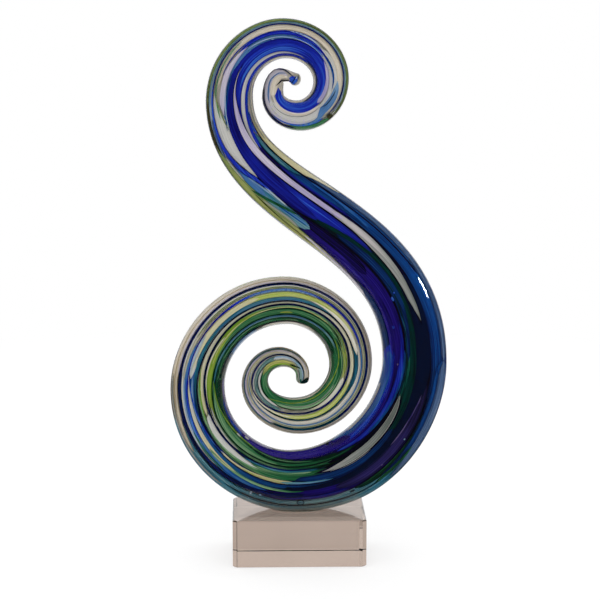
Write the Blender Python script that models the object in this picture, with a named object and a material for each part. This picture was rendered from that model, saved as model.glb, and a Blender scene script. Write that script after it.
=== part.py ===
"""Glass koru ornament: a double spiral of cased, striped glass, bonded to a crystal plinth.

The rod is coiled in the XZ plane, with the large coil below and the small one on top. Its
centreline is a chain of quarter turns, from the tip inside the lower coil to the tip inside the
upper one. The core, the coloured ribbons and the clear casing are swept along that one line.
Distances along the rod are called lengths here, and a count of quarter points passed a quarter.
"""

import math

import bmesh
import bpy
import numpy as np

MM = 0.001
DEG = math.pi / 180
FIT_GAP = 0.3 * MM

# Crystal plinth
PLINTH_WIDTH = 73.0 * MM
PLINTH_DEPTH = 52.0 * MM
PLINTH_HEIGHT = 26.0 * MM
PLINTH_CORNER = 2.2 * MM
PLINTH_ARRIS = 0.6 * MM

# Clear adhesive between the scroll and the plinth, and the flat ground under the scroll
BOND_THICKNESS = 0.2 * MM
BOND_MARGIN = 0.8 * MM
SEAT_FLAT_DEPTH = 1.9 * MM

# Lower coil, its inner turn: quarter points as (sideways, up) from the coil's eye
LOWER_EYE_SIDEWAYS = -1.2 * MM
LOWER_TIP = (3.0 * MM, -0.6 * MM)
LOWER_START = (3.5 * MM, 4.2 * MM)
CURL_TOP = (-8.5 * MM, 14.6 * MM)
CURL_LEFT = (-22.8 * MM, 0.5 * MM)
CURL_BOTTOM = (-0.2 * MM, -18.4 * MM)
CURL_RIGHT = (29.8 * MM, 10.7 * MM)

# Open channel between the inner and the outer turn, at the top, left, bottom and right, and how
# far each outer quarter point is shifted across from the inner one
CHANNELS = (12.9 * MM, 9.1 * MM, 9.6 * MM, 5.6 * MM)
SHIFT_TOP = 2.7 * MM
SHIFT_LEFT = -2.6 * MM
SHIFT_BOTTOM = -2.1 * MM
SHIFT_RIGHT = 1.6 * MM

# Upper coil: its eye from the lower one, and quarter points from its eye
UPPER_EYE_SIDEWAYS = 0.3 * MM
UPPER_EYE_RISE = 160.6 * MM
HEAD_CHANNEL = 4.7 * MM
HEAD_SHIFT = -2.3 * MM
HEAD_TOP = (-7.0 * MM, 27.6 * MM)
HEAD_RIGHT = (18.4 * MM, 5.6 * MM)
HEAD_BOTTOM = (1.3 * MM, -13.7 * MM)
HEAD_LEFT = (-12.9 * MM, -2.6 * MM)
HEAD_ARCH = (-8.8 * MM, 7.9 * MM)
UPPER_TIP = (1.9 * MM, 4.4 * MM)
UPPER_TIP_WAY = (0.94, -0.34)

# Handle lengths of the curve, as shares of each quarter turn's span and of the body's rise
QUARTER_LEAVE = 0.644
QUARTER_ARRIVE = 0.438
BODY_LEAVE = 0.566
BODY_ARRIVE = 0.422

# Diameter of the rod at its quarter points, from the lower tip to the upper one, where the body
# is thickest, in the middle of the neck, and where the upper bead begins
LOWER_TIP_DIAMETER = 6.9 * MM
START_DIAMETER = 7.5 * MM
CURL_DIAMETERS = (11.2 * MM, 14.8 * MM, 20.3 * MM, 23.8 * MM)
RING_DIAMETERS = (26.1 * MM, 30.0 * MM, 34.2 * MM, 35.4 * MM)
BODY_DIAMETER = 37.2 * MM
BODY_QUARTER = 8.35
NECK_DIAMETER = 33.4 * MM
NECK_QUARTER = 9.5
HEAD_DIAMETERS = (25.6 * MM, 21.5 * MM, 19.3 * MM, 16.5 * MM, 11.7 * MM)
ARCH_DIAMETER = 7.8 * MM
UPPER_WAIST_DIAMETER = 5.6 * MM
UPPER_WAIST_QUARTER = 15.4

# The ends of the core, left as small beads past the casing
LOWER_BEAD_LENGTH = 1.6 * MM
LOWER_BEAD_DIAMETER = 6.5 * MM
UPPER_BEAD_LENGTH = 6.1 * MM
UPPER_BEAD_DIAMETER = 6.9 * MM
BEAD_SHARES = (0.0, 0.12, 0.3, 0.5, 0.7, 0.88)
BEAD_BLUNTNESS = 0.04

# Layers of the rod, as shares of its radius, and the slow twist of the ribbons
CORE_SHARE = 0.42
BORE_SHARE = 0.76
TWIST_TURNS = 0.6
TWIST_START = -194 * DEG
RIBBON_TAPER = 26.0 * MM
RIBBON_END_SHARE = 0.25

# Each ribbon: its width as a weight among them all, the quarters where it starts and ends, and
# its colour. They stand in this order round the rod.
RIBBONS = (
    ("cobalt_ribbon", 16, 6.4, 14.4, (0.03, 0.07, 0.55)),
    ("lavender_ribbon", 6, 9.2, 11.6, (0.55, 0.52, 0.66)),
    ("teal_ribbon", 12, 2.3, 10.6, (0.04, 0.26, 0.33)),
    ("olive_ribbon", 8, 9.6, 14.2, (0.30, 0.32, 0.08)),
    ("navy_thread_front", 4, 2.2, 13.4, (0.02, 0.04, 0.28)),
    ("bottle_green_ribbon", 15, 1.4, 8.9, (0.03, 0.20, 0.08)),
    ("lime_ribbon", 8, 1.8, 7.3, (0.42, 0.50, 0.10)),
    ("cream_ribbon", 6, 2.2, 7.6, (0.72, 0.68, 0.42)),
    ("navy_thread_back", 4, 2.2, 13.2, (0.02, 0.04, 0.28)),
    ("sky_blue_ribbon", 7, 2.0, 13.4, (0.25, 0.42, 0.62)),
    ("indigo_ribbon", 10, 6.6, 10.4, (0.07, 0.03, 0.30)),
)
CLEAR_GLASS = (0.82, 0.84, 0.82)
ADHESIVE = (0.86, 0.86, 0.82)

# Mesh fineness
QUARTER_STEPS = 7
BODY_STEPS = 16
TIP_STEPS = 5
CASING_SIDES = 16
CORE_SIDES = 8
BOND_SIDES = 32
RIBBON_SLICE = 26 * DEG

# Places in the chain of quarter points
BODY_STRETCH = 9
HEAD_START = 10


def clear_scene():
    for item in list(bpy.data.objects):
        bpy.data.objects.remove(item, do_unlink=True)


def glass(name, colour, alpha=1.0, roughness=0.03):
    material = bpy.data.materials.new(name)
    material.use_nodes = True
    shader = material.node_tree.nodes["Principled BSDF"]
    shader.inputs["Base Color"].default_value = (*colour, 1.0)
    shader.inputs["Metallic"].default_value = 0.0
    shader.inputs["Roughness"].default_value = roughness
    shader.inputs["Alpha"].default_value = alpha
    material.diffuse_color = (*colour, alpha)
    return material


def add_object(name, mesh, material, parent):
    mesh.materials.append(material)
    mesh.shade_smooth()
    mesh.set_sharp_from_angle(angle=40 * DEG)
    item = bpy.data.objects.new(name, mesh)
    bpy.context.scene.collection.objects.link(item)
    item.parent = parent
    return item


def add_group(name, location, parent=None):
    group = bpy.data.objects.new(name, None)
    bpy.context.scene.collection.objects.link(group)
    group.location = location
    group.parent = parent
    return group


def finished(mesh, name):
    bmesh.ops.recalc_face_normals(mesh, faces=mesh.faces)
    data = bpy.data.meshes.new(name)
    mesh.to_mesh(data)
    mesh.free()
    return data


def ring_points():
    """Quarter points of the lower coil's outer turn, a channel away from the inner one."""
    radii = zip(CURL_DIAMETERS, CHANNELS, RING_DIAMETERS)
    top, left, bottom, right = (inner / 2 + gap + outer / 2 for inner, gap, outer in radii)
    return [
        (CURL_TOP[0] + SHIFT_TOP, CURL_TOP[1] + top),
        (CURL_LEFT[0] - left, CURL_LEFT[1] + SHIFT_LEFT),
        (CURL_BOTTOM[0] + SHIFT_BOTTOM, CURL_BOTTOM[1] - bottom),
        (CURL_RIGHT[0] + right, CURL_RIGHT[1] + SHIFT_RIGHT),
    ]


def head_points():
    """Quarter points of the upper coil, the outermost a channel away from the innermost."""
    reach = HEAD_DIAMETERS[-1] / 2 + HEAD_CHANNEL + HEAD_DIAMETERS[0] / 2
    outer = (HEAD_LEFT[0] - reach, HEAD_LEFT[1] + HEAD_SHIFT)
    points = (outer, HEAD_TOP, HEAD_RIGHT, HEAD_BOTTOM, HEAD_LEFT, HEAD_ARCH, UPPER_TIP)
    return [(x + UPPER_EYE_SIDEWAYS, z + UPPER_EYE_RISE) for x, z in points]


def quarter_points():
    """The whole chain from the lower eye, as (x, z, way x, way z)."""
    up, left, down, right = (0, 1), (-1, 0), (0, -1), (1, 0)
    points = [LOWER_TIP, LOWER_START, CURL_TOP, CURL_LEFT, CURL_BOTTOM, CURL_RIGHT]
    points += ring_points() + head_points()
    ways = [up, up, left, down, right, up, left, down, right, up]
    ways += [up, right, down, left, up, right, UPPER_TIP_WAY]
    return np.array([(*point, *way) for point, way in zip(points, ways)], float)


def quarter_diameters():
    """Rod diameter against the quarter, as two lists."""
    table = [(0, LOWER_TIP_DIAMETER), (1, START_DIAMETER)]
    table += [(2 + i, d) for i, d in enumerate(CURL_DIAMETERS + RING_DIAMETERS)]
    table += [(BODY_QUARTER, BODY_DIAMETER), (NECK_QUARTER, NECK_DIAMETER)]
    table += [(HEAD_START + i, d) for i, d in enumerate(HEAD_DIAMETERS)]
    table += [(15, ARCH_DIAMETER), (UPPER_WAIST_QUARTER, UPPER_WAIST_DIAMETER)]
    quarters, diameters = zip(*sorted(table))
    return quarters, diameters


def handles(index, start, end):
    """Bezier handle lengths of one stretch, from its span along each end's own way."""
    span = np.abs(end[:2] - start[:2])
    if index == 0:
        return span[1] / 3, span[1] / 3
    leave_span = span[0] if abs(start[2]) > abs(start[3]) else span[1]
    arrive_span = span[0] if abs(end[2]) > abs(end[3]) else span[1]
    if index == BODY_STRETCH:
        return BODY_LEAVE * leave_span, BODY_ARRIVE * arrive_span
    return QUARTER_LEAVE * leave_span, QUARTER_ARRIVE * arrive_span


def stretch(index, start, end, t):
    """Points and unit ways on one Bezier stretch."""
    leave, arrive = handles(index, start, end)
    a, d = start[:2], end[:2]
    b = a + start[2:] * leave
    c = d - end[2:] * arrive
    t = t[:, None]
    place = (1 - t) ** 3 * a + 3 * (1 - t) ** 2 * t * b + 3 * (1 - t) * t**2 * c + t**3 * d
    way = (1 - t) ** 2 * (b - a) + 2 * (1 - t) * t * (c - b) + t**2 * (d - c)
    return place, way / np.linalg.norm(way, axis=1)[:, None]


class Centreline:
    """Stations along the rod: place, side direction, radius, length so far and quarter."""

    def __init__(self):
        chain = quarter_points()
        count = len(chain) - 1
        steps = {0: TIP_STEPS, BODY_STRETCH: BODY_STEPS, count - 1: TIP_STEPS}
        places, ways, quarters = [], [], []
        for index in range(count):
            t = np.linspace(0, 1, steps.get(index, QUARTER_STEPS) + 1)
            if index < count - 1:
                t = t[:-1]
            place, way = stretch(index, chain[index], chain[index + 1], t)
            places.append(place)
            ways.append(way)
            quarters.append(index + t)
        place, way = np.vstack(places), np.vstack(ways)
        flat = np.zeros(len(place))
        self.place = np.column_stack([place[:, 0], flat, place[:, 1]])
        self.side = np.column_stack([way[:, 1], flat, -way[:, 0]])
        self.quarter = np.concatenate(quarters)
        self.length = np.concatenate([[0], np.cumsum(np.hypot(*np.diff(place, axis=0).T))])
        self.radius = np.interp(self.quarter, *quarter_diameters()) / 2
        self.total = self.length[-1]

    def radius_at(self, length):
        return float(np.interp(length, self.length, self.radius))

    def length_at(self, quarter):
        return float(np.interp(quarter, self.quarter, self.length))

    def frame_at(self, length):
        """Place and side direction at one length along the rod."""
        place = [np.interp(length, self.length, self.place[:, axis]) for axis in range(3)]
        side = [np.interp(length, self.length, self.side[:, axis]) for axis in range(3)]
        return np.array(place), np.array(side) / np.linalg.norm(side)

    def between(self, start, end):
        """The two lengths and that of every station between them."""
        inner = self.length[(self.length > start + FIT_GAP) & (self.length < end - FIT_GAP)]
        return [start, *inner, end]


def circle(radius, sides):
    return [(radius, math.tau * i / sides) for i in range(sides)]


def section_points(line, length, polar):
    """A section given as (radius, angle) pairs, with angle 0 at the front and 90 at the side."""
    place, side = line.frame_at(length)
    front = np.array([0, -1, 0])
    return [place + r * (math.sin(angle) * side + math.cos(angle) * front) for r, angle in polar]


def skin(mesh, rings):
    """Joins rings of equal count with quads, and gives back their vertices."""
    made = [[mesh.verts.new(point) for point in points] for points in rings]
    for first, second in zip(made, made[1:]):
        for i, vertex in enumerate(first):
            j = (i + 1) % len(first)
            mesh.faces.new((vertex, first[j], second[j], second[i]))
    return made


def swept(name, line, lengths, section):
    """Closed solid whose section is given for each length along the rod."""
    mesh = bmesh.new()
    made = skin(mesh, [section_points(line, length, section(length)) for length in lengths])
    mesh.faces.new(made[0])
    mesh.faces.new(made[-1])
    return finished(mesh, name)


def tube(name, line, lengths, outer, inner):
    """Tube with both ends open: a skin that runs up outside, over the end and back inside."""
    mesh = bmesh.new()
    outside = [section_points(line, s, circle(outer(s), CASING_SIDES)) for s in lengths]
    inside = [section_points(line, s, circle(inner(s), CASING_SIDES)) for s in reversed(lengths)]
    made = skin(mesh, outside + inside)
    last, first = made[-1], made[0]
    for i, vertex in enumerate(last):
        j = (i + 1) % len(last)
        mesh.faces.new((vertex, last[j], first[j], first[i]))
    return finished(mesh, name)


class Scroll:
    """The rod's layers, worked out from the centreline and the layer shares."""

    def __init__(self, line):
        self.line = line
        self.first = LOWER_BEAD_LENGTH + FIT_GAP
        self.last = line.total - UPPER_BEAD_LENGTH - FIT_GAP

    def bore(self, length):
        return BORE_SHARE * self.line.radius_at(length)

    def core(self, length):
        return CORE_SHARE * self.line.radius_at(length)

    def twist(self, length):
        return TWIST_START + math.tau * TWIST_TURNS * length / self.line.total

    def bead(self, length):
        """Radius of the core's end bead, or nothing away from both ends."""
        lower = (length, LOWER_BEAD_LENGTH, LOWER_BEAD_DIAMETER)
        upper = (self.line.total - length, UPPER_BEAD_LENGTH, UPPER_BEAD_DIAMETER)
        for distance, reach, diameter in (lower, upper):
            if distance < reach:
                along = 1 - 2 * max(distance / reach, BEAD_BLUNTNESS)
                return diameter / 2 * math.sqrt(1 - along * along)
        return 0.0

    def core_mesh(self, name):
        lower = [share * LOWER_BEAD_LENGTH for share in BEAD_SHARES]
        upper = [self.line.total - share * UPPER_BEAD_LENGTH for share in reversed(BEAD_SHARES)]
        lengths = lower + self.line.between(self.first, self.last) + upper

        def section(length):
            return circle(max(self.core(length), self.bead(length)), CORE_SIDES)

        return swept(name, self.line, lengths, section)

    def casing_mesh(self, name):
        lengths = self.line.between(self.first, self.last)
        return tube(name, self.line, lengths, self.line.radius_at, self.bore)

    def ribbon_mesh(self, name, middle, half, from_quarter, to_quarter):
        """A slice of the ring between core and bore, drawn out thin at both ends."""
        start = max(self.line.length_at(from_quarter), self.first + FIT_GAP)
        end = min(self.line.length_at(to_quarter), self.last - FIT_GAP)
        count = math.ceil(2 * half / RIBBON_SLICE)

        def section(length):
            ease = min(1.0, min(length - start, end - length) / RIBBON_TAPER)
            taper = RIBBON_END_SHARE + (1 - RIBBON_END_SHARE) * ease * ease * (3 - 2 * ease)
            width = (half - FIT_GAP / 2 / self.core(length)) * taper
            step = 2 * width / count
            outer = self.bore(length) * math.cos(math.pi / CASING_SIDES) - FIT_GAP
            inner = (self.core(length) + FIT_GAP) / math.cos(step / 2)
            first = self.twist(length) + middle - width
            angles = [first + step * i for i in range(count + 1)]
            return [(outer, a) for a in angles] + [(inner, a) for a in reversed(angles)]

        return swept(name, self.line, self.line.between(start, end), section)


def build_plinth(parent):
    mesh = bmesh.new()
    bmesh.ops.create_cube(mesh, size=1.0)
    bmesh.ops.scale(mesh, vec=(PLINTH_WIDTH, PLINTH_DEPTH, PLINTH_HEIGHT), verts=mesh.verts)
    upright = [e for e in mesh.edges if abs(e.verts[0].co.z - e.verts[1].co.z) > PLINTH_HEIGHT / 2]
    bmesh.ops.bevel(mesh, geom=upright, offset=PLINTH_CORNER, segments=1, affect="EDGES")
    material = glass("plinth_crystal", CLEAR_GLASS, alpha=0.4)
    plinth = add_object("crystal_plinth", finished(mesh, "crystal_plinth"), material, parent)
    plinth.location = (0, 0, PLINTH_HEIGHT / 2)
    arris = plinth.modifiers.new("arris", "BEVEL")
    arris.width = PLINTH_ARRIS
    arris.segments = 1
    arris.limit_method = "ANGLE"
    arris.angle_limit = 60 * DEG


def lowest_reach(line):
    """Height of the rod's underside at every station, measured from the lower eye."""
    return line.place[:, 2] - line.radius


def seat_outline(line, seat):
    """Middle, half length and half width of the flat that the seat plane cuts from the rod."""
    under = lowest_reach(line)
    lowest = int(np.argmin(under))
    sideways = line.place[:, 0]
    falling = slice(lowest, lowest - QUARTER_STEPS, -1)
    rising = slice(lowest, lowest + QUARTER_STEPS)
    left = np.interp(seat, under[falling], sideways[falling])
    right = np.interp(seat, under[rising], sideways[rising])
    radius = line.radius[lowest]
    half_width = math.sqrt(radius**2 - (radius - (seat - under[lowest])) ** 2)
    return (left + right) / 2, (right - left) / 2, half_width


def build_bond(line, seat, parent):
    """Adhesive pad between plinth and flat, squeezed out a little past the flat."""
    middle, half_length, half_width = seat_outline(line, seat)
    mesh = bmesh.new()
    outline = [
        (
            (half_length + BOND_MARGIN) * math.cos(math.tau * i / BOND_SIDES),
            (half_width + BOND_MARGIN) * math.sin(math.tau * i / BOND_SIDES),
            0,
        )
        for i in range(BOND_SIDES)
    ]
    face = mesh.faces.new([mesh.verts.new(point) for point in outline])
    raised = bmesh.ops.extrude_face_region(mesh, geom=[face])["geom"]
    top = [item for item in raised if isinstance(item, bmesh.types.BMVert)]
    bmesh.ops.translate(mesh, vec=(0, 0, BOND_THICKNESS), verts=top)
    material = glass("bond_adhesive", ADHESIVE, alpha=0.5, roughness=0.2)
    bond = add_object("adhesive_bond", finished(mesh, "adhesive_bond"), material, parent)
    bond.location = (middle, 0, seat - FIT_GAP - BOND_THICKNESS)


def grind_flat(casing, line, seat):
    """Cuts the casing flat at the seat plane."""
    mesh = bmesh.new()
    bmesh.ops.create_cube(mesh, size=1.0)
    size = 2 * max(RING_DIAMETERS)
    reach = 2 * size
    bmesh.ops.scale(mesh, vec=(2 * reach, size, size), verts=mesh.verts)
    data = finished(mesh, "flat_cutter")
    cutter = bpy.data.objects.new("flat_cutter", data)
    bpy.context.scene.collection.objects.link(cutter)
    cutter.parent = casing.parent
    cutter.location = (line.place[int(np.argmin(lowest_reach(line))), 0], 0, seat - size / 2)
    cutter.hide_render = True
    cutter.display_type = "WIRE"
    flat = casing.modifiers.new("ground_flat", "BOOLEAN")
    flat.object = cutter
    flat.operation = "DIFFERENCE"


def build_scroll(line, seat, parent):
    scroll = Scroll(line)
    core = scroll.core_mesh("core_rod")
    add_object("core_rod", core, glass("core_glass", CLEAR_GLASS, alpha=0.5), parent)
    turn_share = math.tau / sum(weight for _, weight, _, _, _ in RIBBONS)
    edge = 0.0
    for name, weight, start, end, colour in RIBBONS:
        half = weight * turn_share / 2
        mesh = scroll.ribbon_mesh(name, edge + half, half, start, end)
        add_object(name, mesh, glass(name + "_glass", colour), parent)
        edge += 2 * half
    material = glass("casing_glass", CLEAR_GLASS, alpha=0.3)
    casing = add_object("clear_casing", scroll.casing_mesh("clear_casing"), material, parent)
    grind_flat(casing, line, seat)


def main():
    clear_scene()
    ornament = add_group("koru_ornament", (0, 0, 0))
    build_plinth(ornament)
    line = Centreline()
    seat = lowest_reach(line).min() + SEAT_FLAT_DEPTH
    seat_height = PLINTH_HEIGHT + FIT_GAP + BOND_THICKNESS + FIT_GAP
    eye = add_group("lower_eye", (LOWER_EYE_SIDEWAYS, 0, seat_height - seat), ornament)
    build_bond(line, seat, eye)
    build_scroll(line, seat, eye)


main()
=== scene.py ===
"""Glass koru ornament: how the cased, striped glass scroll and its crystal plinth look.

The scroll's centreline repeats the CAD's. A solid clear casing is swept along it, and the
coloured strands lie inside the casing at a few depths. Each strand is drawn as it is seen from
the front, across the rod from -1 to 1, and the casing's own magnification is worked out to find
where round the rod it has to lie. The back of the rod repeats the front.
"""

import math

import bmesh
import bpy
import numpy as np
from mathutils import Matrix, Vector


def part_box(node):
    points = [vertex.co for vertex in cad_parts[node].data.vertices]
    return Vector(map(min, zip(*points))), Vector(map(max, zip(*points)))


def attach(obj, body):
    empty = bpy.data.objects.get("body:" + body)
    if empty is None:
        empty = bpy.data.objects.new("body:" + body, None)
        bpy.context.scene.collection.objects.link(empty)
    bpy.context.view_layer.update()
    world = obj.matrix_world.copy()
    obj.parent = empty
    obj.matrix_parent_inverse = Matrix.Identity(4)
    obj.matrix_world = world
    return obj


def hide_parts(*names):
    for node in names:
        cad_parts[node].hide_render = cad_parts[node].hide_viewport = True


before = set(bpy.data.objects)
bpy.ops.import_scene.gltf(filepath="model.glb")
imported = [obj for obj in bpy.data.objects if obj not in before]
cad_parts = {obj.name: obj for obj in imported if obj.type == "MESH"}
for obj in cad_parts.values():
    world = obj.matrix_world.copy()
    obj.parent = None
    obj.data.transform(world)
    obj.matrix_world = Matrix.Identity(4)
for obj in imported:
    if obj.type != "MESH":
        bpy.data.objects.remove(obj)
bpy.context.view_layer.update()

MM = 0.001
DEG = math.pi / 180

# The scroll's centreline, as in the CAD
LOWER_EYE_SIDEWAYS = -1.2 * MM
SEAT_FLAT_DEPTH = 1.9 * MM
CURL = ((3.0, -0.6), (3.5, 4.2), (-8.5, 14.6), (-22.8, 0.5), (-0.2, -18.4), (29.8, 10.7))
CHANNELS = (12.9, 9.1, 9.6, 5.6)
RING_SHIFTS = (2.7, -2.6, -2.1, 1.6)
UPPER_EYE = (0.3, 160.6)
HEAD_CHANNEL = 4.7
HEAD_SHIFT = -2.3
HEAD = ((-7.0, 27.6), (18.4, 5.6), (1.3, -13.7), (-12.9, -2.6), (-8.8, 7.9), (1.9, 4.4))
UPPER_TIP_WAY = (0.94, -0.34)
QUARTER_LEAVE = 0.644
QUARTER_ARRIVE = 0.438
BODY_LEAVE = 0.566
BODY_ARRIVE = 0.422
BODY_STRETCH = 9
CURVE_SAMPLES = 60

# Diameter of the rod in millimetres: at its tip and start, then round each coil. A quarter
# counts the quarter points passed since the lower tip.
START_DIAMETERS = (6.9, 7.5)
CURL_DIAMETERS = (11.2, 14.8, 20.3, 23.8)
RING_DIAMETERS = (26.1, 30.0, 34.2, 35.4)
BODY_DIAMETER = 37.2
BODY_QUARTER = 8.35
NECK_DIAMETER = 33.4
NECK_QUARTER = 9.5
HEAD_DIAMETERS = (25.6, 21.5, 19.3, 16.5, 11.7)
ARCH_DIAMETER = 7.8
ARCH_QUARTER = 15
WAIST_DIAMETER = 5.6
WAIST_QUARTER = 15.4
LAST_QUARTER = 16
LOWER_END_LENGTH = 2.6 * MM
UPPER_BEAD_LENGTH = 6.1 * MM
UPPER_BEAD_DIAMETER = 6.9 * MM
THINNEST_SHARE = 0.02
THINNEST_RADIUS = 0.02 * MM

# The strands' places along the rod are counted in steps. A step is about 0.55 mm, and a little
# less in the upper coil. Each mark gives a count of steps and its distance from the lower tip.
STEP_MARKS = (
    (-9, 0.0),
    (400, 226.2 * MM),
    (825, 463.1 * MM),
    (1150, 639.6 * MM),
    (1421, 783.1 * MM),
)

# Over these steps all the strands lie a little further across than their rows say
SIDE_MARKS = (
    (100, 0.0), (150, 0.1), (185, 0.055), (240, 0.04), (300, -0.03), (360, -0.03), (415, 0.0),
)

# Clear glass, and the depths of the strands in it as shares of the rod's radius. Each strand
# lies a hair above those laid before it.
GLASS_INDEX = 1.5
CORE_REACH = 0.62
FIELD = 0.80
BAND = 0.85
LENS = 0.90
LINE = 0.945
STRAND_THICKNESS = 0.03
LAYING_LIFT = 0.00008

# A strand reaches no further across the rod, nor round it, than this
WIDEST = 0.985
WIDEST_ANGLE = 89.5 * DEG

# A strand's ends are drawn to a point over some steps or over a share of its length
POINT_STEPS = 9
POINT_SHARE = 0.3
END_WIDTH = 0.04

# Glass left over the strands and the core at the tips, and over the strands at the plinth
STRAND_END_COVER = 0.8 * MM
CORE_END_COVER = 1.2 * MM
SEAT_COVER = 0.3 * MM

# How finely the pieces are built
STATION_STEPS = 4
FEWEST_STATIONS = 10
SLICE_ANGLE = 10 * DEG
CASING_RING_SPACING = 2 * MM
CASING_SIDES = 48
CORE_RING_SPACING = 3 * MM
CORE_SIDES = 24
END_RINGS = 8
END_RINGS_LENGTH = 8 * MM
SHARP_ANGLE = 40 * DEG

# Each finish as its dark, middle and light tone, in the units of a colour picker
FINISHES = {
    "cobalt": ((8, 6, 75), (18, 32, 164), (48, 96, 216)),
    "indigo": ((3, 2, 16), (22, 10, 96), (42, 32, 148)),
    "navy": ((2, 8, 30), (8, 20, 86), (34, 72, 158)),
    "teal": ((2, 26, 36), (30, 92, 120), (114, 160, 164)),
    "green": ((2, 28, 18), (32, 96, 56), (118, 164, 114)),
    "lime": ((76, 138, 30), (156, 178, 62), (214, 214, 134)),
    "cream": ((200, 188, 126), (230, 220, 168), (246, 240, 220)),
    "tan": ((160, 138, 101), (217, 199, 169), (241, 229, 210)),
    "olive": ((40, 38, 20), (100, 122, 68), (184, 178, 92)),
    "lavender": ((134, 126, 178), (188, 178, 208), (226, 218, 234)),
    "sky": ((50, 92, 156), (104, 144, 190), (186, 204, 222)),
    "azure": ((3, 18, 56), (12, 62, 136), (76, 130, 190)),
    "slate": ((12, 22, 46), (54, 76, 114), (124, 144, 160)),
    "bottle": ((0, 18, 20), (2, 46, 42), (24, 92, 74)),
    "plum": ((12, 10, 34), (36, 30, 84), (80, 68, 112)),
    "sea": ((30, 62, 66), (84, 122, 122), (150, 178, 170)),
    "sage": ((140, 142, 134), (200, 200, 192), (232, 230, 222)),
    "mist": ((72, 80, 76), (122, 126, 122), (176, 170, 172)),
}

# Drawn glass: the fineness of its grain in cycles a metre along the rod and across it, and how
# much the grain shades its tone and how much painted shade darkens a strand's edges. A strand
# holds part of the light in, so its colour is given under the casing with this gain.
THREAD_GRAIN = (30.0, 1900.0)
THREAD_SHADING = 1.6
CLOUD_GRAIN = (22.0, 420.0)
CLOUD_SHADING = 0.8
DARK_TONE_GRAIN = 0.4
EDGE_PAINTED_SHADE = 0.2
CASED_GAIN = 0.56
UNPOLISHED = {"Roughness": 0.5, "Specular IOR Level": 0.0}

# The core's threads on painted light and shade: pale for the surroundings seen through clear
# glass, and dark painted shade over the stretch where the dense blue and teal cover the core
CORE_GRAIN = (25.0, 700.0)
CORE_SHADING = 3.0
CORE_PAINTED_SURROUNDINGS = ((186, 178, 150), (240, 230, 214))
CORE_PAINTED_SHADE = ((3, 8, 22), (10, 40, 62))
PAINTED_SHADE_START = 318 * MM
PAINTED_SHADE_END = 612 * MM
PAINTED_SHADE_FADE = 22 * MM

# The casing's polished glass, its surface faintly drawn along the rod
CASING_TINT = (1.0, 0.99, 0.97, 1.0)
CASING_GRAIN = (25.0, 90.0)
CASING_WAVE = 0.02 * MM

# The plinth's crystal and its adhesive bond
CRYSTAL_INDEX = 1.52
# The crystal's warm tints are painted light: the tan surroundings seen through the crystal
CRYSTAL_PAINTED_SURROUNDINGS = ((188, 170, 158), (202, 184, 172))
CRYSTAL_DRIFT_SCALE = 30.0
CRYSTAL_RIPPLE_SCALE = 55.0
CRYSTAL_RIPPLE = 0.01 * MM
BOND_INDEX = 1.45
BOND_TINTS = ((214, 208, 190), (236, 232, 220))
BOND_CLOUD_SCALE = 400.0
BOND_CLEARNESS = 0.6
BOND_ROUGHNESS = 0.1
BOND_ROUGHNESS_DRIFT = 0.2

# The camera stands at the photograph's place, 1.09 m in front of the scroll
SIGHT = Vector((-27.2, -1091, 322.4)) * MM
SIGHT_YAW = 1.47 * DEG
SIGHT_PITCH = -9.31 * DEG
LENS_LENGTH = 121.4
SENSOR_WIDTH = 36

# The floor: by the object it is mostly white by itself and keeps the object's shadow, and it
# turns wholly white further off. Close to the plinth it looks brighter through the glass.
FLOOR_RADIUS = 1.6
FLOOR_SEGMENTS = 96
FLOOR_DROP = 0.15 * MM
FLOOR_COLOUR = (0.9, 0.9, 0.9, 1.0)
FLOOR_ROUGHNESS = 0.8
FLOOR_SHEEN = 0.1
FLOOR_WHITENESS = 0.6
FADE_START = 0.2
FADE_LENGTH = 0.5
NEAR_RADIUS = 0.12
NEAR_GLOW = 0.9
FLOOR_SHARE = 0.88

# How bright the surroundings look in a reflection and through glass, by how far forward and how
# far up they lie, and the air's light on the object
FRONT_GLOW = 0.05
SIDE_GLOW = 0.3
GRAZING_START = 0.86
GRAZING_RISE = 12.0
BEHIND_START = 0.62
FRONT_END = 0.12
SIDE_RISE = 6.0
CEILING_START = 0.5
CEILING_RISE = 4.0
SIDE_TINT = (150, 120, 92)
AIR_LIGHT = 1.25
TOP_LIGHT = 0.15
WHITE = (1.0, 1.0, 1.0, 1.0)

# A small strip softbox, far out on the right, makes the one bright glint on the body
LAMP_PLACE = Vector((0.92, 0.17, 0.40))
LAMP_TARGET = Vector((0.06, 0, 0.13))
LAMP_SIZE = (0.11, 0.17)
LAMP_SPREAD = 10 * DEG
LAMP_POWER = 0.035


class Strand:
    """One coloured strand: rows of (steps, left edge, right edge, tone) along the rod."""

    def __init__(self, finish, depth, rows, round_start=0, round_end=0):
        self.finish = finish
        self.depth = depth
        self.rows = np.array(rows, float)
        self.round_start = round_start
        self.round_end = round_end

    def stations(self):
        """The steps at which the strand is built."""
        first, last = self.rows[0, 0], self.rows[-1, 0]
        count = max(FEWEST_STATIONS, math.ceil((last - first) / STATION_STEPS))
        return np.linspace(first, last, count + 1)

    def edges(self, stations):
        """Left edge, right edge and tone at each station."""
        return [smooth_curve(self.rows[:, 0], self.rows[:, i])(stations) for i in (1, 2, 3)]

    def end_share(self, stations):
        """Share of the strand's width near its ends, drawn to a point or rounded off."""
        share = np.ones_like(stations)
        from_start, from_end = stations - stations[0], stations[-1] - stations
        drawn_out = min(POINT_STEPS, POINT_SHARE * (stations[-1] - stations[0]))
        for distance, rounded in ((from_start, self.round_start), (from_end, self.round_end)):
            t = np.clip(distance / (rounded or drawn_out), 0, 1)
            ease = np.sqrt(1 - (1 - t) ** 2) if rounded else t * (2 - t)
            share = share * (END_WIDTH + (1 - END_WIDTH) * ease)
        return share


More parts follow.
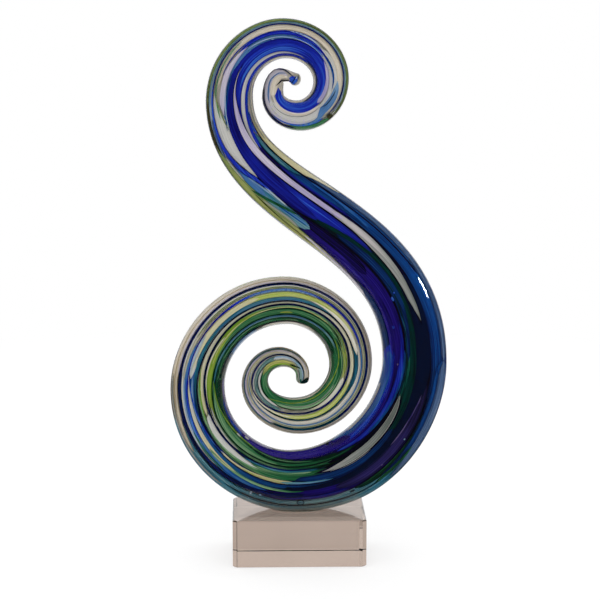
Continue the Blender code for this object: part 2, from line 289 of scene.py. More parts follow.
def band(finish, depth, *rows, round_start=0, round_end=0):
    return Strand(finish, depth, rows, round_start, round_end)


def line(finish, width, tone, *rows, depth=LINE):
    """A thin strand of one width, its rows given as (steps, middle)."""
    half = width / 2
    return Strand(finish, depth, [(step, v - half, v + half, tone) for step, v in rows])


def spot(finish, step, across, tone, length=3.0, width=0.07):
    """A small mark drawn as a very short strand: a bubble, a fleck, and in two places a painted
    highlight.
    """
    half, side = length / 2, width / 2
    rows = [(end, across - side, across + side, tone) for end in (step - half, step + half)]
    return Strand(finish, LINE, rows, round_start=half, round_end=half)


# The strands that stand for each ribbon, with the fine threads of other finishes that run in it.
# Later ones lie above earlier ones of the same depth.
GREEN_STRANDS = [
    band("green", FIELD, (28, -0.88, -0.5, 0.5), (60, -0.9, -0.42, 0.6), (100, -0.92, -0.4, 0.45),
         (160, -0.93, -0.4, 0.4), (240, -0.9, -0.4, 0.35), (300, -0.85, -0.3, 0.35),
         (440, -0.86, -0.34, 0.3), (520, -0.84, -0.28, 0.25), (600, -0.74, -0.26, 0.05),
         (660, -0.62, -0.3, 0.0), (720, -0.48, -0.28, 0.0), (765, -0.34, -0.28, 0.0)),
    band("green", LENS, (60, -0.52, -0.42, 0.0), (95, -0.5, -0.43, 0.1)),
    band("green", BAND, (98, -0.5, -0.4, 0.6), (125, -0.7, -0.4, 0.6), (155, -0.76, -0.43, 0.6),
         (200, -0.68, -0.43, 0.5), (235, -0.53, -0.43, 0.5), (252, -0.47, -0.44, 0.4)),
    line("green", 0.09, 1.2, (104, -0.43), (130, -0.46), (160, -0.46), (200, -0.43), (240, -0.42)),
    line("sage", 0.03, 0.2, (108, -0.5), (130, -0.53), (160, -0.55), (190, -0.53)),
    line("green", 0.04, 0.0, (98, -0.37), (140, -0.37), (180, -0.42), (250, -0.42)),
    band("green", LENS, (230, -0.88, -0.72, 0.15), (300, -0.83, -0.7, 0.2),
         (360, -0.83, -0.7, 0.3), (440, -0.84, -0.64, 0.2), (505, -0.82, -0.78, 0.0)),
    line("green", 0.035, 1.0, (296, -0.785), (350, -0.775)),
    line("green", 0.03, 0.8, (330, -0.74), (400, -0.75), (440, -0.74)),
    band("green", BAND, (236, -0.54, -0.36, 0.55), (300, -0.54, -0.32, 0.6),
         (360, -0.56, -0.36, 0.55), (430, -0.58, -0.46, 0.5)),
    line("green", 0.03, 0.15, (240, -0.55), (360, -0.56), (440, -0.57)),
    line("green", 0.035, 0.1, (238, -0.34), (270, -0.3), (352, -0.31)),
    line("lime", 0.04, 0.8, (308, -0.475), (315, -0.47), (322, -0.475)),
    band("green", LENS, (437, -0.58, -0.56, 0.9), (480, -0.67, -0.52, 0.75),
         (520, -0.7, -0.5, 0.7), (560, -0.6, -0.48, 0.6), (600, -0.53, -0.44, 0.4),
         (640, -0.51, -0.42, 0.2), (680, -0.47, -0.42, 0.0)),
    band("green", LINE, (462, -0.58, -0.52, 1.0), (500, -0.57, -0.5, 1.0),
         (550, -0.54, -0.48, 1.0), (585, -0.51, -0.47, 0.7)),
    line("green", 0.07, -0.1, (545, -0.68), (580, -0.6), (620, -0.57), (655, -0.53)),
    line("green", 0.035, 0.0, (437, -0.555), (470, -0.5), (520, -0.475), (580, -0.45),
         (660, -0.42)),
    band("green", BAND, (458, -0.46, -0.38, 0.9), (520, -0.45, -0.37, 1.0),
         (580, -0.42, -0.36, 0.8), (640, -0.4, -0.34, 0.6), (700, -0.4, -0.34, 0.4)),
    line("green", 0.035, 0.0, (466, -0.365), (520, -0.36), (600, -0.33), (640, -0.34)),
    band("green", FIELD, (470, -0.12, 0.0, 0.9), (520, -0.16, 0.02, 0.8), (560, -0.27, 0.02, 0.75),
         (590, -0.29, 0.04, 0.5), (640, -0.22, 0.0, 0.3), (700, -0.1, 0.0, 0.1)),
    line("green", 0.05, 1.0, (440, -0.035), (480, -0.05), (520, -0.09), (560, -0.12)),
    line("green", 0.05, 1.0, (550, -0.2), (585, -0.22), (620, -0.22)),
    spot("green", 437, -0.82, 1.0),
    band("bottle", FIELD, (690, -0.08, 0.05, 0.2), (740, -0.3, 0.12, 0.35), (780, -0.28, 0.1, 0.3),
         (850, -0.15, 0.1, 0.2), (900, -0.05, 0.14, 0.3), (935, 0.0, 0.12, 0.3)),
    line("bottle", 0.07, 0.8, (742, -0.24), (770, -0.2), (800, -0.14)),
    band("bottle", BAND, (866, 0.04, 0.14, 0.3), (910, -0.02, 0.12, 0.3), (940, -0.12, 0.04, 0.2),
         (965, -0.24, -0.06, 0.1), (985, -0.36, -0.2, 0.0), (1006, -0.4, -0.34, 0.0)),
    line("azure", 0.1, 0.85, (978, -0.5), (1000, -0.53), (1012, -0.6)),
    line("sage", 0.06, 0.0, (984, -0.74), (1000, -0.69), (1015, -0.72), (1028, -0.76)),
    line("green", 0.08, 0.45, (994, -0.42), (1010, -0.52), (1025, -0.64), (1042, -0.78),
         depth=LINE),
    band("green", BAND, (655, 0.58, 0.72, 0.0), (690, 0.56, 0.76, 0.15), (725, 0.58, 0.7, 0.05)),
    line("green", 0.04, 0.9, (1110, -0.46), (1140, -0.6), (1180, -0.6)),
    band("sage", BAND, (-8, -0.95, -0.45, 0.3), (0, -0.95, -0.4, 0.1), (10, -0.95, -0.5, 0.0)),
    line("green", 0.14, 1.0, (-8, -0.84), (4, -0.84), (16, -0.88)),
    line("green", 0.06, 0.2, (-7, -0.52), (2, -0.5), (10, -0.42)),
    line("green", 0.2, -0.3, (8, -0.1), (11, -0.3), (15, -0.52), (21, -0.62), depth=LINE),
]

LIME_STRANDS = [
    line("lime", 0.03, 0.5, (92, -0.45), (110, -0.66), (130, -0.74), (155, -0.785), (200, -0.705),
         (230, -0.55), (250, -0.5)),
    band("lime", LENS, (12, -0.74, -0.6, 0.1), (30, -0.76, -0.62, 0.3), (52, -0.7, -0.6, 0.1)),
    band("lime", BAND, (198, -0.36, -0.3, 0.7), (225, -0.38, -0.2, 0.6), (270, -0.3, -0.17, 0.5),
         (320, -0.26, -0.15, 0.3), (360, -0.34, -0.2, 0.3), (400, -0.48, -0.27, 0.3),
         (440, -0.52, -0.33, 0.3), (484, -0.45, -0.38, 0.3)),
    band("green", LENS, (232, -0.35, -0.26, 1.0), (280, -0.25, -0.16, 1.0),
         (330, -0.24, -0.14, 1.0), (362, -0.24, -0.2, 1.0)),
    band("green", LENS, (258, -0.34, -0.29, 0.5), (300, -0.32, -0.26, 0.1),
         (345, -0.3, -0.27, 0.4)),
    line("lime", 0.03, 1.0, (262, -0.27), (300, -0.25), (360, -0.33), (420, -0.42)),
    band("lime", BAND, (98, 0.06, 0.18, 0.8), (125, -0.06, 0.12, 0.85), (160, -0.09, 0.12, 0.75),
         (214, -0.07, 0.06, 0.8)),
    band("lime", LENS, (240, 0.24, 0.36, 1.0), (265, 0.22, 0.37, 1.0), (290, 0.2, 0.38, 0.6),
         (320, 0.19, 0.38, 0.55), (345, 0.18, 0.36, 0.65), (366, 0.2, 0.33, 0.8)),
    line("lime", 0.028, 0.3, (440, -0.59), (470, -0.67), (500, -0.755), (530, -0.77), (556, -0.7)),
    line("green", 0.025, 0.8, (540, -0.74), (580, -0.64), (626, -0.54)),
    band("cream", LENS, (442, 0.31, 0.35, 1.0), (470, 0.23, 0.34, 0.9), (500, 0.21, 0.34, 0.6),
         (526, 0.24, 0.33, 0.2), (542, 0.27, 0.31, 0.0)),
    band("green", LENS, (508, 0.26, 0.35, 1.0), (560, 0.3, 0.38, 1.0), (610, 0.34, 0.38, 0.4)),
    line("cream", 0.02, 1.0, (436, 0.35), (470, 0.26), (500, 0.22)),
    band("green", BAND, (1316, -0.97, -0.8, 0.5), (1325, -0.97, -0.74, 0.6),
         (1345, -0.97, -0.7, 0.6), (1358, -0.96, -0.8, 0.2)),
    band("olive", LENS, (1315.2, -0.97, -0.68, 0.0), (1319.6, -0.97, -0.66, 0.0), round_start=0.8,
         round_end=0.8),
]

CREAM_STRANDS = [
    line("sage", 0.12, 1.0, (54, -0.32), (90, -0.34), (108, -0.33)),
    line("sage", 0.1, 0.3, (44, 0.1), (62, 0.09), (84, 0.1)),
    band("cream", LENS, (146, -0.32, -0.27, 0.9), (165, -0.38, -0.22, 0.9),
         (190, -0.38, -0.2, 0.9), (203, -0.37, -0.19, 0.8), round_end=8),
    line("cream", 0.09, 0.95, (78, 0.25), (88, 0.18), (104, 0.1), (126, 0.03)),
    band("cream", LENS, (195, -0.06, 0.09, 0.7), (250, -0.07, 0.05, 0.8), (300, -0.08, 0.0, 1.0),
         (360, -0.14, -0.02, 1.0), (400, -0.18, -0.05, 1.0), (440, -0.22, -0.08, 0.65),
         (478, -0.22, -0.14, 0.2)),
    band("lime", LENS, (425, -0.07, -0.05, 0.4), (455, -0.12, -0.06, 0.3),
         (484, -0.1, -0.05, 0.3)),
    band("cream", LINE, (226, 0.2, 0.33, 0.9), (240, 0.14, 0.31, 0.9), (260, 0.12, 0.27, 0.9),
         (280, 0.16, 0.23, 0.8), (296, 0.21, 0.23, 0.6), round_start=10),
    band("cream", LENS, (340, 0.18, 0.34, 0.2), (380, 0.14, 0.33, 0.3), (410, 0.15, 0.32, 0.4),
         (432, 0.2, 0.3, 0.5)),
    band("sage", LENS, (396, 0.28, 0.34, 0.6), (415, 0.2, 0.34, 0.6), (428, 0.15, 0.34, 0.7),
         (440, 0.2, 0.34, 0.8), round_end=12),
    band("sky", LINE, (398, 0.29, 0.34, 1.0), (418, 0.27, 0.34, 1.0), (437, 0.31, 0.34, 1.0)),
    line("cream", 0.05, 0.9, (388, -0.32), (440, -0.305), (470, -0.31), (494, -0.345)),
    band("cream", FIELD, (4, 0.33, 0.62, 0.2), (60, 0.33, 0.6, 0.3), (94, 0.36, 0.5, 0.4)),
    line("sage", 0.06, 0.6, (10, 0.38), (40, 0.39), (70, 0.38)),
    band("tan", BAND, (80, 0.28, 0.44, 0.8), (150, 0.24, 0.44, 0.95), (236, 0.3, 0.44, 0.9)),
    band("cream", BAND, (80, 0.52, 0.62, 0.6), (150, 0.5, 0.64, 0.75), (240, 0.53, 0.66, 0.8),
         (360, 0.48, 0.62, 0.75), (440, 0.48, 0.58, 0.75), (536, 0.53, 0.55, 0.5)),
    line("sage", 0.07, 1.0, (236, 0.655), (300, 0.65), (330, 0.64), (364, 0.62), (420, 0.6),
         (470, 0.585)),
    line("cream", 0.035, 1.0, (438, 0.54), (480, 0.57), (526, 0.545)),
    line("sky", 0.05, 1.0, (440, 0.5), (475, 0.52), (505, 0.53)),
    line("sage", 0.05, 0.3, (470, -0.4), (500, -0.39), (530, -0.38)),
    band("cream", LENS, (514, 0.03, 0.07, 0.9), (535, 0.04, 0.12, 0.6), (575, 0.01, 0.12, 0.2),
         (602, 0.03, 0.13, 0.1)),
    line("lime", 0.02, 0.9, (545, 0.08), (570, 0.08), (596, 0.08)),
    band("tan", BAND, (1316, 0.0, 0.16, 0.9), (1380, -0.05, 0.16, 0.9)),
    band("tan", BAND, (-8, 0.24, 0.92, 0.9), (10, 0.3, 0.92, 0.9), (40, 0.5, 0.92, 0.8)),
    line("tan", 0.1, 0.0, (-7, 0.9), (10, 0.88), (40, 0.92)),
    line("mist", 0.12, 0.6, (14, 0.86), (36, 0.88), (60, 0.9)),
    line("lavender", 0.08, 0.8, (0, 0.6), (20, 0.6), (60, 0.66)),
    line("mist", 0.05, 0.3, (4, 0.72), (30, 0.73), (70, 0.76)),
    band("tan", LENS, (1377, -0.15, 0.1, 0.7), (1384, -0.3, 0.35, 0.7), (1392, -0.3, 0.5, 0.7),
         (1400, -0.15, 0.5, 0.7), (1410, -0.1, 0.6, 0.7), round_start=3),
    band("tan", BAND, (40, 0.83, 0.97, 0.9), (110, 0.81, 0.97, 0.95), (240, 0.79, 0.97, 1.0),
         (360, 0.76, 0.97, 1.0), (470, 0.75, 0.96, 0.5), (505, 0.8, 0.86, 0.3)),
    line("mist", 0.05, 0.8, (440, 0.93), (490, 0.92), (540, 0.92)),
    line("lavender", 0.04, 0.9, (250, 0.79), (330, 0.79), (440, 0.75)),
    line("tan", 0.02, 0.3, (60, 0.9), (240, 0.88), (470, 0.86)),
    band("mist", LENS, (225, -0.95, -0.86, 0.5), (262, -0.95, -0.87, 0.4),
         (282, -0.95, -0.9, 0.6)),
    band("tan", LENS, (272, -0.95, -0.88, 0.8), (300, -0.95, -0.87, 1.0),
         (347, -0.95, -0.88, 1.0)),
    band("tan", BAND, (1060, 0.82, 0.96, 0.6), (1100, 0.83, 0.96, 0.9), (1200, 0.84, 0.96, 1.0),
         (1384, 0.85, 0.96, 1.0)),
    line("mist", 0.025, 0.7, (1070, 0.88), (1200, 0.87), (1330, 0.86)),
    band("tan", BAND, (1136, -0.66, -0.45, 0.5), (1150, -0.68, -0.46, 0.6),
         (1200, -0.68, -0.42, 0.65), (1250, -0.66, -0.4, 0.6), (1290, -0.64, -0.35, 0.6),
         (1319, -0.6, -0.45, 0.6)),
    line("lavender", 0.06, 0.8, (880, -0.95), (940, -0.91), (975, -0.83)),
]

TEAL_STRANDS = [
    band("sea", FIELD, (34, -0.28, 0.1, 0.5), (70, -0.25, 0.1, 0.5), (84, -0.25, 0.0, 0.5),
         (114, -0.3, -0.12, 0.6), round_start=3),
    line("teal", 0.05, 0.1, (40, -0.25), (70, -0.22), (84, -0.2)),
    line("sea", 0.04, 1.0, (46, -0.12), (70, -0.08), (92, -0.12)),
    band("teal", LENS, (238, -0.66, -0.6, 0.9), (360, -0.66, -0.59, 0.9),
         (442, -0.63, -0.59, 0.7)),
    line("sky", 0.02, 0.3, (262, -0.63), (300, -0.63), (400, -0.62)),
    band("teal", BAND, (82, 0.26, 0.31, 0.0), (100, 0.17, 0.25, 0.0), (150, 0.12, 0.2, 0.0),
         (180, 0.12, 0.2, 0.1), (205, 0.11, 0.3, 0.2), (228, 0.12, 0.31, 0.2),
         (244, 0.1, 0.2, 0.1)),
    band("teal", BAND, (260, 0.08, 0.16, 0.6), (300, 0.04, 0.17, 0.6), (360, 0.0, 0.16, 0.5),
         (440, 0.02, 0.16, 0.3), (505, 0.02, 0.1, 0.1)),
    line("sky", 0.03, 0.3, (296, 0.07), (340, 0.05), (392, 0.05)),
    line("sky", 0.05, 0.6, (436, 0.2), (460, 0.2), (486, 0.16)),
    line("teal", 0.11, 0.1, (106, 0.7), (140, 0.7), (182, 0.73)),
    band("teal", FIELD, (470, 0.74, 0.97, 0.8), (520, 0.7, 0.97, 0.6), (560, 0.66, 0.97, 0.8),
         (640, 0.64, 0.97, 0.9), (700, 0.6, 0.97, 0.25), (795, 0.6, 0.97, 0.15)),
    line("teal", 0.05, 0.8, (500, 0.76), (560, 0.73), (620, 0.72), (650, 0.74)),
    line("teal", 0.05, 0.9, (548, 0.88), (600, 0.87), (665, 0.88)),
    line("teal", 0.03, 0.1, (540, 0.83), (600, 0.8), (680, 0.83)),
    spot("teal", 606, 0.71, 0.0, length=7, width=0.16),
    spot("teal", 606, 0.71, 0.7, length=4.6, width=0.1),
    spot("teal", 652, 0.7, 0.0, length=5, width=0.05),
    band("azure", BAND, (795, -0.97, -0.76, 0.2), (850, -0.97, -0.78, 0.15),
         (904, -0.96, -0.84, 0.1)),
    band("teal", LENS, (975, -0.62, -0.5, 0.85), (983, -0.7, -0.44, 0.75),
         (1000, -0.74, -0.4, 0.7), (1030, -0.76, -0.38, 0.7), (1050, -0.76, -0.6, 0.7),
         (1062, -0.75, -0.7, 0.7), round_start=5),
    line("teal", 0.04, 0.2, (752, -0.28), (800, -0.25), (850, -0.17), (880, -0.13)),
    band("teal", BAND, (1012, 0.68, 0.75, 0.4), (1040, 0.6, 0.75, 0.55), (1084, 0.6, 0.74, 0.5)),
    band("azure", FIELD, (1096, -0.3, -0.12, 0.9), (1150, -0.3, -0.06, 0.9),
         (1200, -0.3, 0.0, 1.0), (1262, -0.15, 0.08, 1.0)),
    band("sky", BAND, (1150, -0.2, -0.16, 0.4), (1180, -0.2, -0.1, 0.3), (1215, -0.14, -0.04, 0.4),
         (1240, -0.1, -0.02, 0.5), (1262, -0.04, 0.02, 0.6)),
]

SKY_STRANDS = [
    band("sky", LENS, (14, -0.12, 0.1, 0.9), (24, -0.2, 0.12, 1.0), (39, -0.24, 0.06, 1.0),
         round_end=3),
    line("sage", 0.12, 0.7, (18, -0.1), (28, -0.15), (40, -0.17)),
    band("sea", BAND, (-8, -0.48, 0.1, 0.8), (0, -0.46, 0.14, 0.8), (10, -0.36, 0.16, 0.9),
         (20, -0.1, 0.16, 0.8)),
    line("sky", 0.14, 1.0, (-4, 0.0), (6, 0.0), (20, -0.02)),
    line("sky", 0.13, 0.3, (1373, -0.42), (1384, -0.45), (1392, -0.5), (1400, -0.32),
         (1408, -0.35)),
    line("sea", 0.08, 0.5, (14, 0.8), (40, 0.81), (112, 0.8)),
    line("indigo", 0.03, 1.0, (46, 0.76), (110, 0.76)),
    band("sky", LINE, (60, 0.43, 0.48, 0.5), (150, 0.44, 0.5, 0.3), (250, 0.42, 0.48, 0.1)),
    line("sky", 0.05, 0.2, (300, 0.44), (345, 0.43)),
    band("sky", LENS, (408, 0.4, 0.45, 0.1), (432, 0.37, 0.48, 0.05), (470, 0.36, 0.49, 0.0),
         (500, 0.36, 0.48, 0.0)),
    line("cobalt", 0.05, 0.9, (440, 0.41), (470, 0.4), (500, 0.4)),
    band("azure", LENS, (474, 0.37, 0.47, 0.9), (510, 0.36, 0.52, 0.8), (545, 0.37, 0.52, 0.6),
         (575, 0.4, 0.46, 0.5)),
    line("green", 0.04, 0.8, (488, 0.5), (510, 0.48), (532, 0.47)),
    band("teal", LINE, (586, 0.04, 0.12, 1.0), (615, 0.07, 0.13, 0.8), (641, 0.12, 0.16, 0.6)),
    line("sky", 0.02, 0.5, (596, 0.11), (620, 0.12), (640, 0.145)),
    band("sky", FIELD, (355, -0.97, -0.87, 0.4), (385, -0.97, -0.87, 0.3),
         (410, -0.97, -0.88, 0.1)),
    band("mist", FIELD, (398, -0.97, -0.87, 0.3), (430, -0.97, -0.87, 0.2),
         (476, -0.97, -0.86, 0.2)),
    line("sky", 0.05, 0.9, (1006, -0.4), (1024, -0.375), (1042, -0.34)),
    line("sky", 0.05, 0.7, (1026, -0.42), (1040, -0.47), (1052, -0.55)),
    band("sky", LENS, (1028, -0.66, -0.5, 0.1), (1045, -0.7, -0.46, 0.1), (1056, -0.72, -0.6, 0.1),
         (1066, -0.74, -0.68, 0.0)),
    line("sage", 0.06, 0.2, (1052, -0.73), (1062, -0.74), (1078, -0.79)),
    band("slate", BAND, (1098, -0.87, -0.78, 0.8), (1140, -0.87, -0.75, 1.0),
         (1200, -0.85, -0.75, 1.0), (1300, -0.84, -0.74, 0.9), (1316, -0.84, -0.75, 0.8)),
    line("teal", 0.03, 0.9, (1120, -0.84), (1200, -0.82), (1300, -0.81)),
    band("sky", LENS, (1288, -0.45, -0.3, 0.5), (1303, -0.52, -0.14, 0.2),
         (1318, -0.5, -0.06, 0.1), (1328, -0.66, -0.5, 0.2), (1345, -0.68, -0.58, 0.3)),
    band("cobalt", LENS, (1322, -0.72, -0.6, 0.8), (1336, -0.7, -0.57, 1.0),
         (1350, -0.7, -0.62, 1.0), (1366, -0.76, -0.7, 0.8)),
    line("sky", 0.05, 0.9, (1180, -0.15), (1225, -0.05), (1262, 0.03)),
    band("azure", BAND, (424, 0.16, 0.3, 0.5), (450, 0.12, 0.27, 0.5), (480, 0.1, 0.2, 0.5),
         (520, 0.09, 0.2, 0.5), (580, 0.12, 0.28, 0.4), (640, 0.15, 0.26, 0.1),
         (700, 0.08, 0.16, 0.0)),
    band("teal", BAND, (508, 0.14, 0.24, 0.6), (545, 0.16, 0.27, 0.6), (600, 0.2, 0.28, 0.2)),
    band("azure", FIELD, (600, -0.1, 0.2, 0.1), (660, -0.1, 0.18, 0.15), (720, -0.06, 0.12, 0.05)),
    band("azure", FIELD, (790, -0.2, -0.16, 0.0), (830, -0.26, -0.08, 0.05),
         (860, -0.26, 0.0, 0.1), (905, -0.24, 0.02, 0.1), (930, -0.26, -0.04, 0.0),
         (952, -0.24, -0.1, 0.0)),
    band("azure", FIELD, (740, 0.56, 0.97, 0.1), (840, 0.5, 0.98, 0.2), (900, 0.48, 0.98, 0.3),
         (960, 0.46, 0.97, 0.35), (1000, 0.46, 0.85, 0.25), (1040, 0.5, 0.75, 0.1)),
    line("azure", 0.06, 0.7, (930, 0.62), (960, 0.68), (1000, 0.72)),
    band("slate", BAND, (790, 0.84, 0.98, 0.35), (860, 0.84, 0.98, 0.4), (940, 0.83, 0.97, 0.45),
         (1000, 0.8, 0.86, 0.4)),
    band("azure", LENS, (680, 0.72, 0.74, 0.1), (720, 0.66, 0.84, 0.15), (750, 0.64, 0.95, 0.25),
         (775, 0.65, 0.98, 0.3), (791, 0.72, 0.98, 0.35), round_end=2),
    band("slate", LINE, (684, 0.9, 0.96, 0.5), (720, 0.8, 0.97, 0.5), (750, 0.76, 0.97, 0.5),
         (780, 0.77, 0.97, 0.45), (792, 0.86, 0.97, 0.4)),
    line("azure", 0.05, 0.55, (1098, -0.3), (1130, -0.1), (1150, -0.05)),
    spot("sky", 563, 0.67, 1.0, length=1.6, width=0.12),
    spot("sky", 571, 0.63, 0.6, length=2),
    spot("plum", 790, -0.52, 1.0, length=2.2, width=0.03),
    spot("sky", 1102, 0.73, 1.0, length=6, width=0.08),
    spot("sky", 1206, -0.02, 0.8, length=3, width=0.04),
]

COBALT_STRANDS = [
    band("cobalt", LINE, (232, 0.43, 0.5, 0.6), (262, 0.42, 0.5, 0.5), (300, 0.43, 0.51, 0.8),
         (340, 0.42, 0.5, 0.9), (372, 0.37, 0.44, 0.6), (400, 0.36, 0.4, 0.4),
         (450, 0.35, 0.38, 0.5)),
    band("sky", LINE, (286, 0.44, 0.46, 0.6), (305, 0.42, 0.48, 0.7), (330, 0.42, 0.48, 0.6),
         (350, 0.43, 0.45, 0.5)),
    band("cobalt", BAND, (466, -0.95, -0.87, 1.0), (500, -0.95, -0.84, 0.9),
         (548, -0.94, -0.82, 0.5)),
    line("lavender", 0.05, 0.0, (436, -0.93), (470, -0.94), (520, -0.94), (570, -0.94)),
    band("cobalt", BAND, (628, -0.85, -0.66, 0.5), (660, -0.95, -0.64, 0.5),
         (700, -0.97, -0.64, 0.6), (740, -0.97, -0.64, 0.6), (780, -0.97, -0.6, 0.55),
         (798, -0.97, -0.62, 0.5), (812, -0.8, -0.68, 0.5), round_end=3),
    band("azure", BAND, (652, -0.9, -0.82, 0.4), (700, -0.9, -0.78, 0.5), (760, -0.9, -0.72, 0.6),
         (790, -0.9, -0.68, 0.6), (804, -0.85, -0.7, 0.6), round_end=3),
    band("sky", BAND, (655, -0.98, -0.88, 0.2), (700, -0.98, -0.85, 0.1), (760, -0.98, -0.87, 0.0),
         (796, -0.98, -0.9, 0.0)),
    band("cobalt", BAND, (656, -0.6, -0.55, 0.4), (700, -0.56, -0.44, 0.6),
         (740, -0.54, -0.34, 0.5), (780, -0.5, -0.27, 0.45), (806, -0.42, -0.27, 0.35),
         (838, -0.36, -0.32, 0.2)),
    line("azure", 0.06, 0.55, (700, -0.47), (740, -0.4), (780, -0.33), (806, -0.3)),
    line("cobalt", 0.035, 0.9, (440, 0.31), (455, 0.23), (480, 0.13), (500, 0.08), (520, 0.045)),
    band("cobalt", BAND, (912, 0.08, 0.12, 0.3), (930, 0.04, 0.16, 0.35), (960, -0.08, 0.19, 0.45),
         (985, -0.22, 0.21, 0.45), (1005, -0.33, 0.22, 0.4), (1050, -0.27, 0.22, 0.35),
         (1100, -0.2, 0.5, 0.35), (1125, -0.14, 0.5, 0.4), (1150, -0.05, 0.66, 0.45),
         (1200, -0.01, 0.74, 0.55), (1240, 0.02, 0.76, 0.55), (1262, 0.05, 0.76, 0.5),
         (1290, 0.12, 0.78, 0.5), (1316, 0.17, 0.79, 0.6), (1340, 0.16, 0.82, 0.7),
         (1368, 0.18, 0.8, 0.75), (1376, 0.2, 0.84, 0.7), (1381, 0.2, 0.8, 0.6),
         (1388, 0.28, 0.66, 0.6), round_end=4),
    band("cobalt", LENS, (975, -0.25, -0.14, 0.2), (1005, -0.33, 0.02, 0.15),
         (1050, -0.27, 0.16, 0.2), (1090, -0.2, 0.17, 0.15), (1130, -0.14, 0.12, 0.2),
         (1165, -0.06, 0.06, 0.2)),
    band("cobalt", LENS, (1120, 0.0, 0.04, 0.15), (1170, 0.0, 0.14, 0.2), (1240, 0.04, 0.2, 0.2),
         (1270, 0.12, 0.16, 0.3)),
    band("cobalt", LENS, (1140, 0.4, 0.44, 0.7), (1180, 0.4, 0.56, 0.8), (1230, 0.4, 0.62, 0.7),
         (1262, 0.46, 0.6, 0.5)),
    line("cobalt", 0.05, 0.35, (950, 0.51), (1000, 0.51), (1040, 0.56)),
    band("cobalt", LINE, (1411, 0.1, 0.5, 0.7), (1414, -0.3, 0.8, 0.8), (1420, -0.45, 0.9, 1.0),
         round_end=1),
    spot("sky", 1417.5, -0.3, 1.0, length=2, width=0.5),
    band("cobalt", LINE, (1026, -0.33, -0.3, 0.6), (1045, -0.44, -0.33, 0.6),
         (1060, -0.61, -0.47, 0.6), (1075, -0.72, -0.59, 0.5), (1090, -0.77, -0.65, 0.5),
         (1110, -0.76, -0.69, 0.5), (1140, -0.75, -0.7, 0.5)),
    line("navy", 0.055, 0.65, (1130, -0.72), (1200, -0.72), (1290, -0.71), (1300, -0.69),
         (1319, -0.66)),
    line("cobalt", 0.035, 0.6, (1148, -0.45), (1200, -0.38), (1250, -0.35)),
    band("cobalt", LENS, (1168, -0.32, -0.26, 0.3), (1190, -0.38, -0.24, 0.4),
         (1215, -0.36, -0.2, 0.5), (1240, -0.26, -0.14, 0.4), (1252, -0.2, -0.08, 0.4),
         (1268, -0.12, -0.05, 0.5)),
    line("sky", 0.07, 1.0, (1222, -0.38), (1240, -0.3), (1256, -0.22)),
    line("cobalt", 0.07, 0.9, (1225, -0.1), (1245, -0.05), (1262, -0.01)),
    band("azure", LENS, (1258, -0.16, -0.04, 0.4), (1280, -0.19, -0.08, 0.5),
         (1298, -0.13, -0.1, 0.4)),
    line("cobalt", 0.11, 0.5, (1066, 0.53), (1090, 0.61), (1120, 0.7), (1160, 0.77), (1212, 0.8),
         (1256, 0.81)),
    line("azure", 0.05, 0.8, (1086, 0.68), (1110, 0.72), (1140, 0.77)),
    line("cobalt", 0.07, 1.0, (1082, 0.72), (1098, 0.74), (1112, 0.77)),
]

